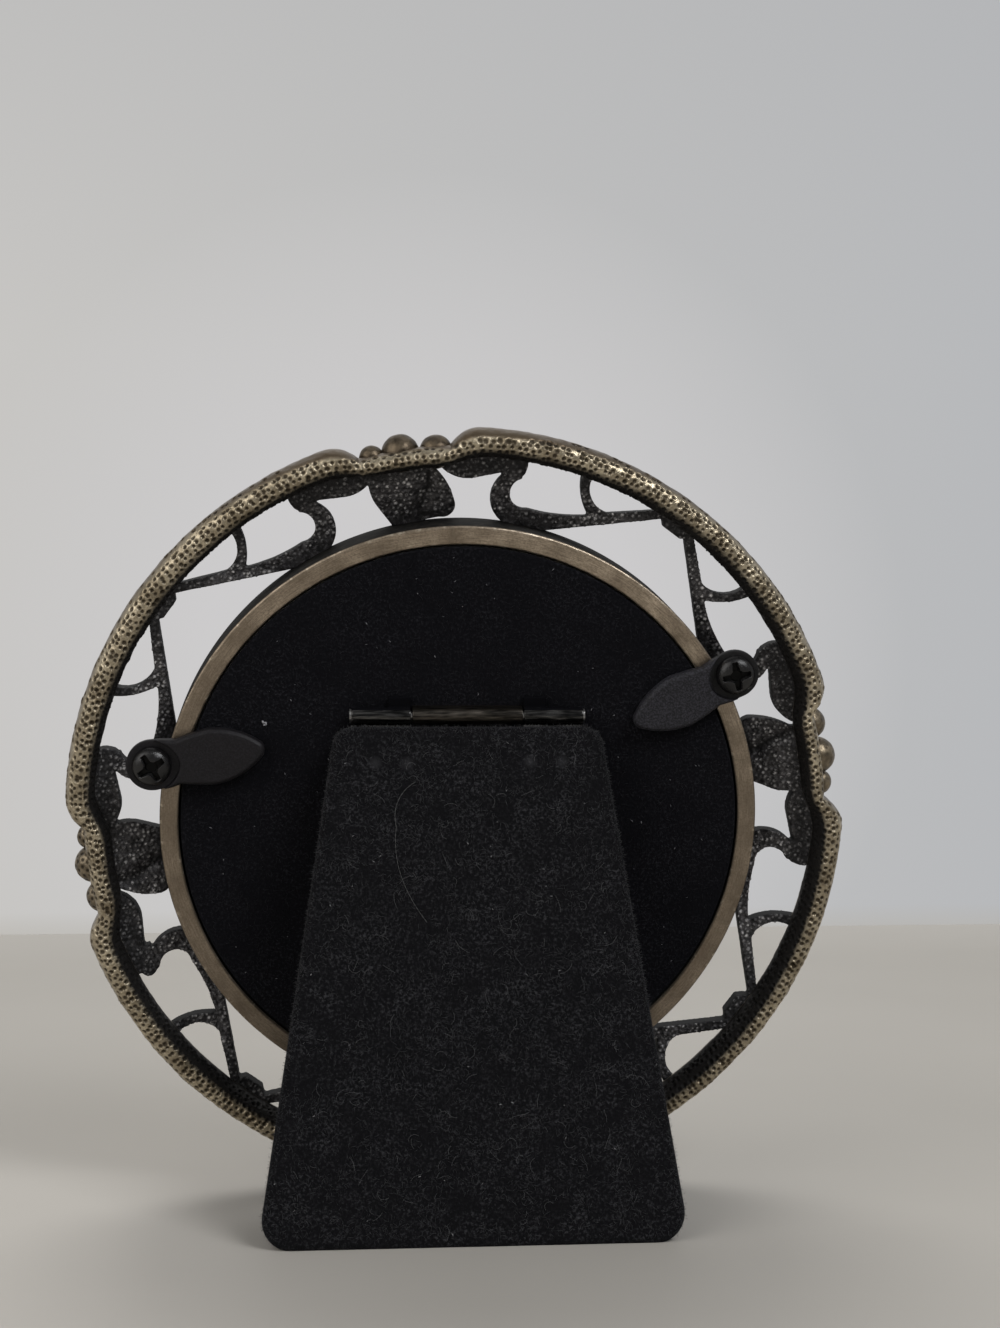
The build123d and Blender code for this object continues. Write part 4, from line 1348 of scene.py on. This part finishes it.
def disc(name, node, material, slot):
    """Round glass or card in the place of a CAD node, with slightly rounded edges."""
    points = node_points(node)
    radius = np.hypot(points[:, 0], points[:, 1]).max()
    low, high = points[:, 2].min(), points[:, 2].max()
    build = bmesh.new()
    bmesh.ops.create_cone(
        build, cap_ends=True, segments=240, radius1=radius, radius2=radius, depth=high - low,
        matrix=Matrix.Translation((0, 0, (low + high) / 2)),
    )
    edges = [edge for edge in build.edges if edge.calc_face_angle() > 1]
    bevel = 0.12 * (high - low)
    bmesh.ops.bevel(build, geom=edges, offset=bevel, segments=2, profile=0.5, affect="EDGES")
    mesh = built(build, name)
    mesh.transform(PANEL)
    piece = show(name, mesh, material, "frame", slot, node)
    mesh.set_sharp_from_angle(angle=radians(20))
    return piece


def dress(material, *nodes):
    """Give CAD nodes that show as they are a material of their own."""
    for node in nodes:
        mesh = frame["nodes"][node].data
        mesh.materials.clear()
        mesh.materials.append(material)


# Stage


def table_paint():
    """Pale paint, a little lighter by the wall, with a painted patch of light near the left."""
    made = Nodes("table_paint", STAGE)
    x, y = (made.axis(made.spot, name) for name in "XY")
    colour = made.blend(made.noise(0.008), 0.3, 0.7, (0.385, 0.365, 0.332), (0.415, 0.394, 0.36))
    colour = made.blend(y, WALL_Y - 50, WALL_Y, colour, (0.46, 0.44, 0.41), 0.5)
    # Painted light: a paler patch on the table near the left
    painted_light_left = made.math("MULTIPLY", made.span(x, 0, -45), made.span(y, 80, -35))
    colour = made.mix(painted_light_left, colour, (0.475, 0.45, 0.412))
    return made.surface(colour, 0.6, gloss=0.2)


def wall_paint():
    """Pale glow with a soft light patch behind the frame. It is clear from behind."""
    made = Nodes("wall_paint", STAGE)
    x, z = (made.axis(made.spot, name) for name in "XZ")
    # Painted light: the wall is paler and warmer to the left and darker towards the top
    shade = made.blend(x, -150, 200, (0.585, 0.572, 0.552), (0.465, 0.475, 0.492))
    shade = made.blend(z, 160, 260, shade, (0.44, 0.445, 0.455), 0.4)
    shade = made.blend(made.away((8, WALL_Y, 75)), 135, 60, shade, (0.615, 0.605, 0.612), 0.85)
    shade = made.blend(z, 6, 0, shade, (0.46, 0.44, 0.40), 0.5)
    glow = made.node("Emission", "Emission", {"Color": shade})
    clear = made.node("BsdfTransparent", "BSDF", {})
    behind = made.node("NewGeometry", "Backfacing", {})
    choice = made.node("MixShader", "Shader", {0: behind, 1: glow, 2: clear})
    made.put(made.tree.nodes["Material Output"].inputs["Surface"], choice)
    return made.material


def stage_quad(name, corners, paint):
    """Flat piece of the stage."""
    mesh = new_mesh(name, np.array(corners), [(0, 1, 2, 3)], STAGE)
    mesh.materials.append(paint)
    thing = link(name, mesh)
    return thing


def backdrop():
    """Pale table that ends at a pale wall, which casts no light or shade."""
    far = STAGE_REACH
    stage_quad("table", [(-far, -far, 0), (far, -far, 0), (far, far, 0), (-far, far, 0)], table_paint())
    corners = [(-far, WALL_Y, -1), (far, WALL_Y, -1), (far, WALL_Y, far), (-far, WALL_Y, far)]
    wall = stage_quad("wall", corners, wall_paint())
    wall.visible_diffuse = False
    wall.visible_shadow = False


def aim(thing, place, direction):
    """Set a lamp or camera down at a place, facing a direction."""
    thing.location = place
    thing.rotation_mode = "QUATERNION"
    thing.rotation_quaternion = direction.to_track_quat("-Z", "Y")


def lamp(name, place, size, power, colour):
    """Soft square lamp that faces the panel."""
    data = bpy.data.lights.new(name, "AREA")
    data.size = size
    data.energy = power
    data.color = colour
    aim(link(name, data), place, PANEL.translation - Vector(place))


def studio():
    lamp("key_lamp", (0.5, -0.6, 0.75), size=0.42, power=5.2, colour=(0.97, 0.98, 1.0))
    lamp("fill_lamp", (-0.7, -0.5, 0.5), size=0.8, power=3.6, colour=(1.0, 0.97, 0.93))
    lamp("back_lamp", (0.02, 0.9, 1.3), size=0.9, power=10.5, colour=(1.0, 0.99, 0.97))
    world = bpy.data.worlds.new("studio_world")
    world.use_nodes = True
    bpy.context.scene.world = world
    light = world.node_tree.nodes["Background"].inputs
    light["Color"].default_value = (*WORLD_COLOUR, 1.0)
    light["Strength"].default_value = WORLD_STRENGTH


def camera():
    data = bpy.data.cameras.new("photo_camera")
    data.sensor_width = SENSOR
    data.lens = SENSOR * FOCAL_PIXELS / PHOTO_HEIGHT
    data.clip_start = 0.01
    thing = link("photo_camera", data)
    aim(thing, PANEL.translation + CAMERA_FROM_PANEL, CAMERA_LOOKS)
    bpy.context.scene.camera = thing


camera()
studio()
backdrop()

outer_ring()
inner_rim()
scrollwork()
berries()
panel_cover()
leg_cover()

leg_edge = leg_outline()
leg_face = inset(leg_edge, LEG_NAP_MARGIN)
nap(
    "leg_nap", ON_LEG, count=7000, lint=45, height=LEG_BACK_Z, headroom=0.6,
    accept=lambda flat: inside(flat, leg_face) & (flat[:, 1] > LEG_END_Y + FOOT_MARGIN) & clumps(flat),
    box=(leg_edge.min(axis=0), leg_edge.max(axis=0)), pile=(0.062, 0.062, 0.066), pale=(0.30, 0.30, 0.31),
)
leg_fuzz((0.065, 0.065, 0.068))
wisps("leg_wisps", count=170, colour=(0.14, 0.14, 0.145))
hair = [(-6.4, 6.0)]
for via, end in (((-8.4, 4.2), (-9.05, 0.0)), ((-9.1, -3.5), (-8.3, -6.9)), ((-7.0, -9.7), (-5.2, -12.4))):
    hair += arc(hair[-1], via, end)
stray_fibre("leg_hair", ON_LEG, hair, height=LEG_BACK_Z + 0.08, width=0.06, colour=(0.14, 0.14, 0.14))
nap(
    "panel_nap", ON_PANEL, count=4500, lint=120, height=-0.06, headroom=0.1,
    accept=lambda flat: np.hypot(*flat.T) < PANEL_R - PANEL_NAP_MARGIN,
    box=((-PANEL_R, -PANEL_R), (PANEL_R, PANEL_R)), pile=(0.024, 0.024, 0.028), pale=(0.24, 0.24, 0.26),
)
lint_speck = [(-26.8, 14.3), (-26.5, 13.9), (-26.2, 14.0), (-26.3, 13.6), (-26.6, 13.7)]
stray_fibre("panel_lint", ON_PANEL, lint_speck, height=-0.03, width=0.36, colour=(0.30, 0.30, 0.32))

plain_black = enamel("button_enamel_left", (0.0078, 0.0072, 0.0084), sand=0.015, roughness=0.5, gloss=0.18)
button("left", plain_black)
# The right button is painted blacker round its eye, as shade
speckled_black = enamel(
    "button_enamel_right", (0.0075, 0.0073, 0.0092), sand=0.09, roughness=0.6, gloss=0.25,
    speckle=4.5, eye=eye_of("right"),
)
button("right", speckled_black)
screw_black = (
    enamel("screw_enamel", (0.0045, 0.0043, 0.0045), sand=0.05, roughness=0.2, gloss=0.42),
    enamel("screw_wall", (0.012, 0.0117, 0.012), sand=0.04, roughness=0.16, gloss=1.0),
    # The recess's enamel is painted darker for shade, the wall's paler for glints
    enamel("screw_recess_shade", (0.0018, 0.0018, 0.0018), sand=0.03, roughness=0.4, gloss=0.12),
)
screw_head("left", screw_black)
screw_head("right", screw_black)

gloss_steel = steel("gloss_steel", (0.011, 0.011, 0.011), (0.13, 0.127, 0.122), roughness=0.13)
dull_steel = steel("dull_steel", (0.012, 0.0105, 0.009), (0.105, 0.092, 0.077), roughness=0.33)
# Paler steel for the pin: a painted highlight for the bright lines at the barrel's ends
pin_steel_with_highlight = steel("pin_steel_with_highlight", (0.20, 0.195, 0.19), (0.42, 0.41, 0.40), roughness=0.3)
stop_black = fibre_cloth("stop_black", (0.0045, 0.0045, 0.0055), gloss=0.0)
hinge("hinge_middle", "hinge_panel_leaf", "back_panel", wobble=0.05, metal=dull_steel)
hinge("hinge_outer", "hinge_leg_leaf", "leg", wobble=0.1, metal=gloss_steel, stops=stop_black)
dress(pin_steel_with_highlight, "hinge_pin")
dress(gloss_steel, "panel_rivets", "leg_rivets")
grey_board = board("grey_board", (0.36, 0.33, 0.29), (0.24, 0.22, 0.19))
dress(grey_board, "filler_card", "back_board", "leg_board")
black_paper = board("black_paper", (0.03, 0.03, 0.032), (0.014, 0.014, 0.016))
dress(black_paper, "back_lining", "leg_lining")
picture_card = board("picture_card", (0.78, 0.75, 0.68), (0.73, 0.70, 0.63))
disc("picture_disc", "photo_insert", picture_card, "picture_card")
glass = disc("glass_disc", "glazing", picture_glass(), "clear_glass")
glass.visible_shadow = False
glass.visible_diffuse = False

bpy.context.scene.view_settings.view_transform = "Standard"
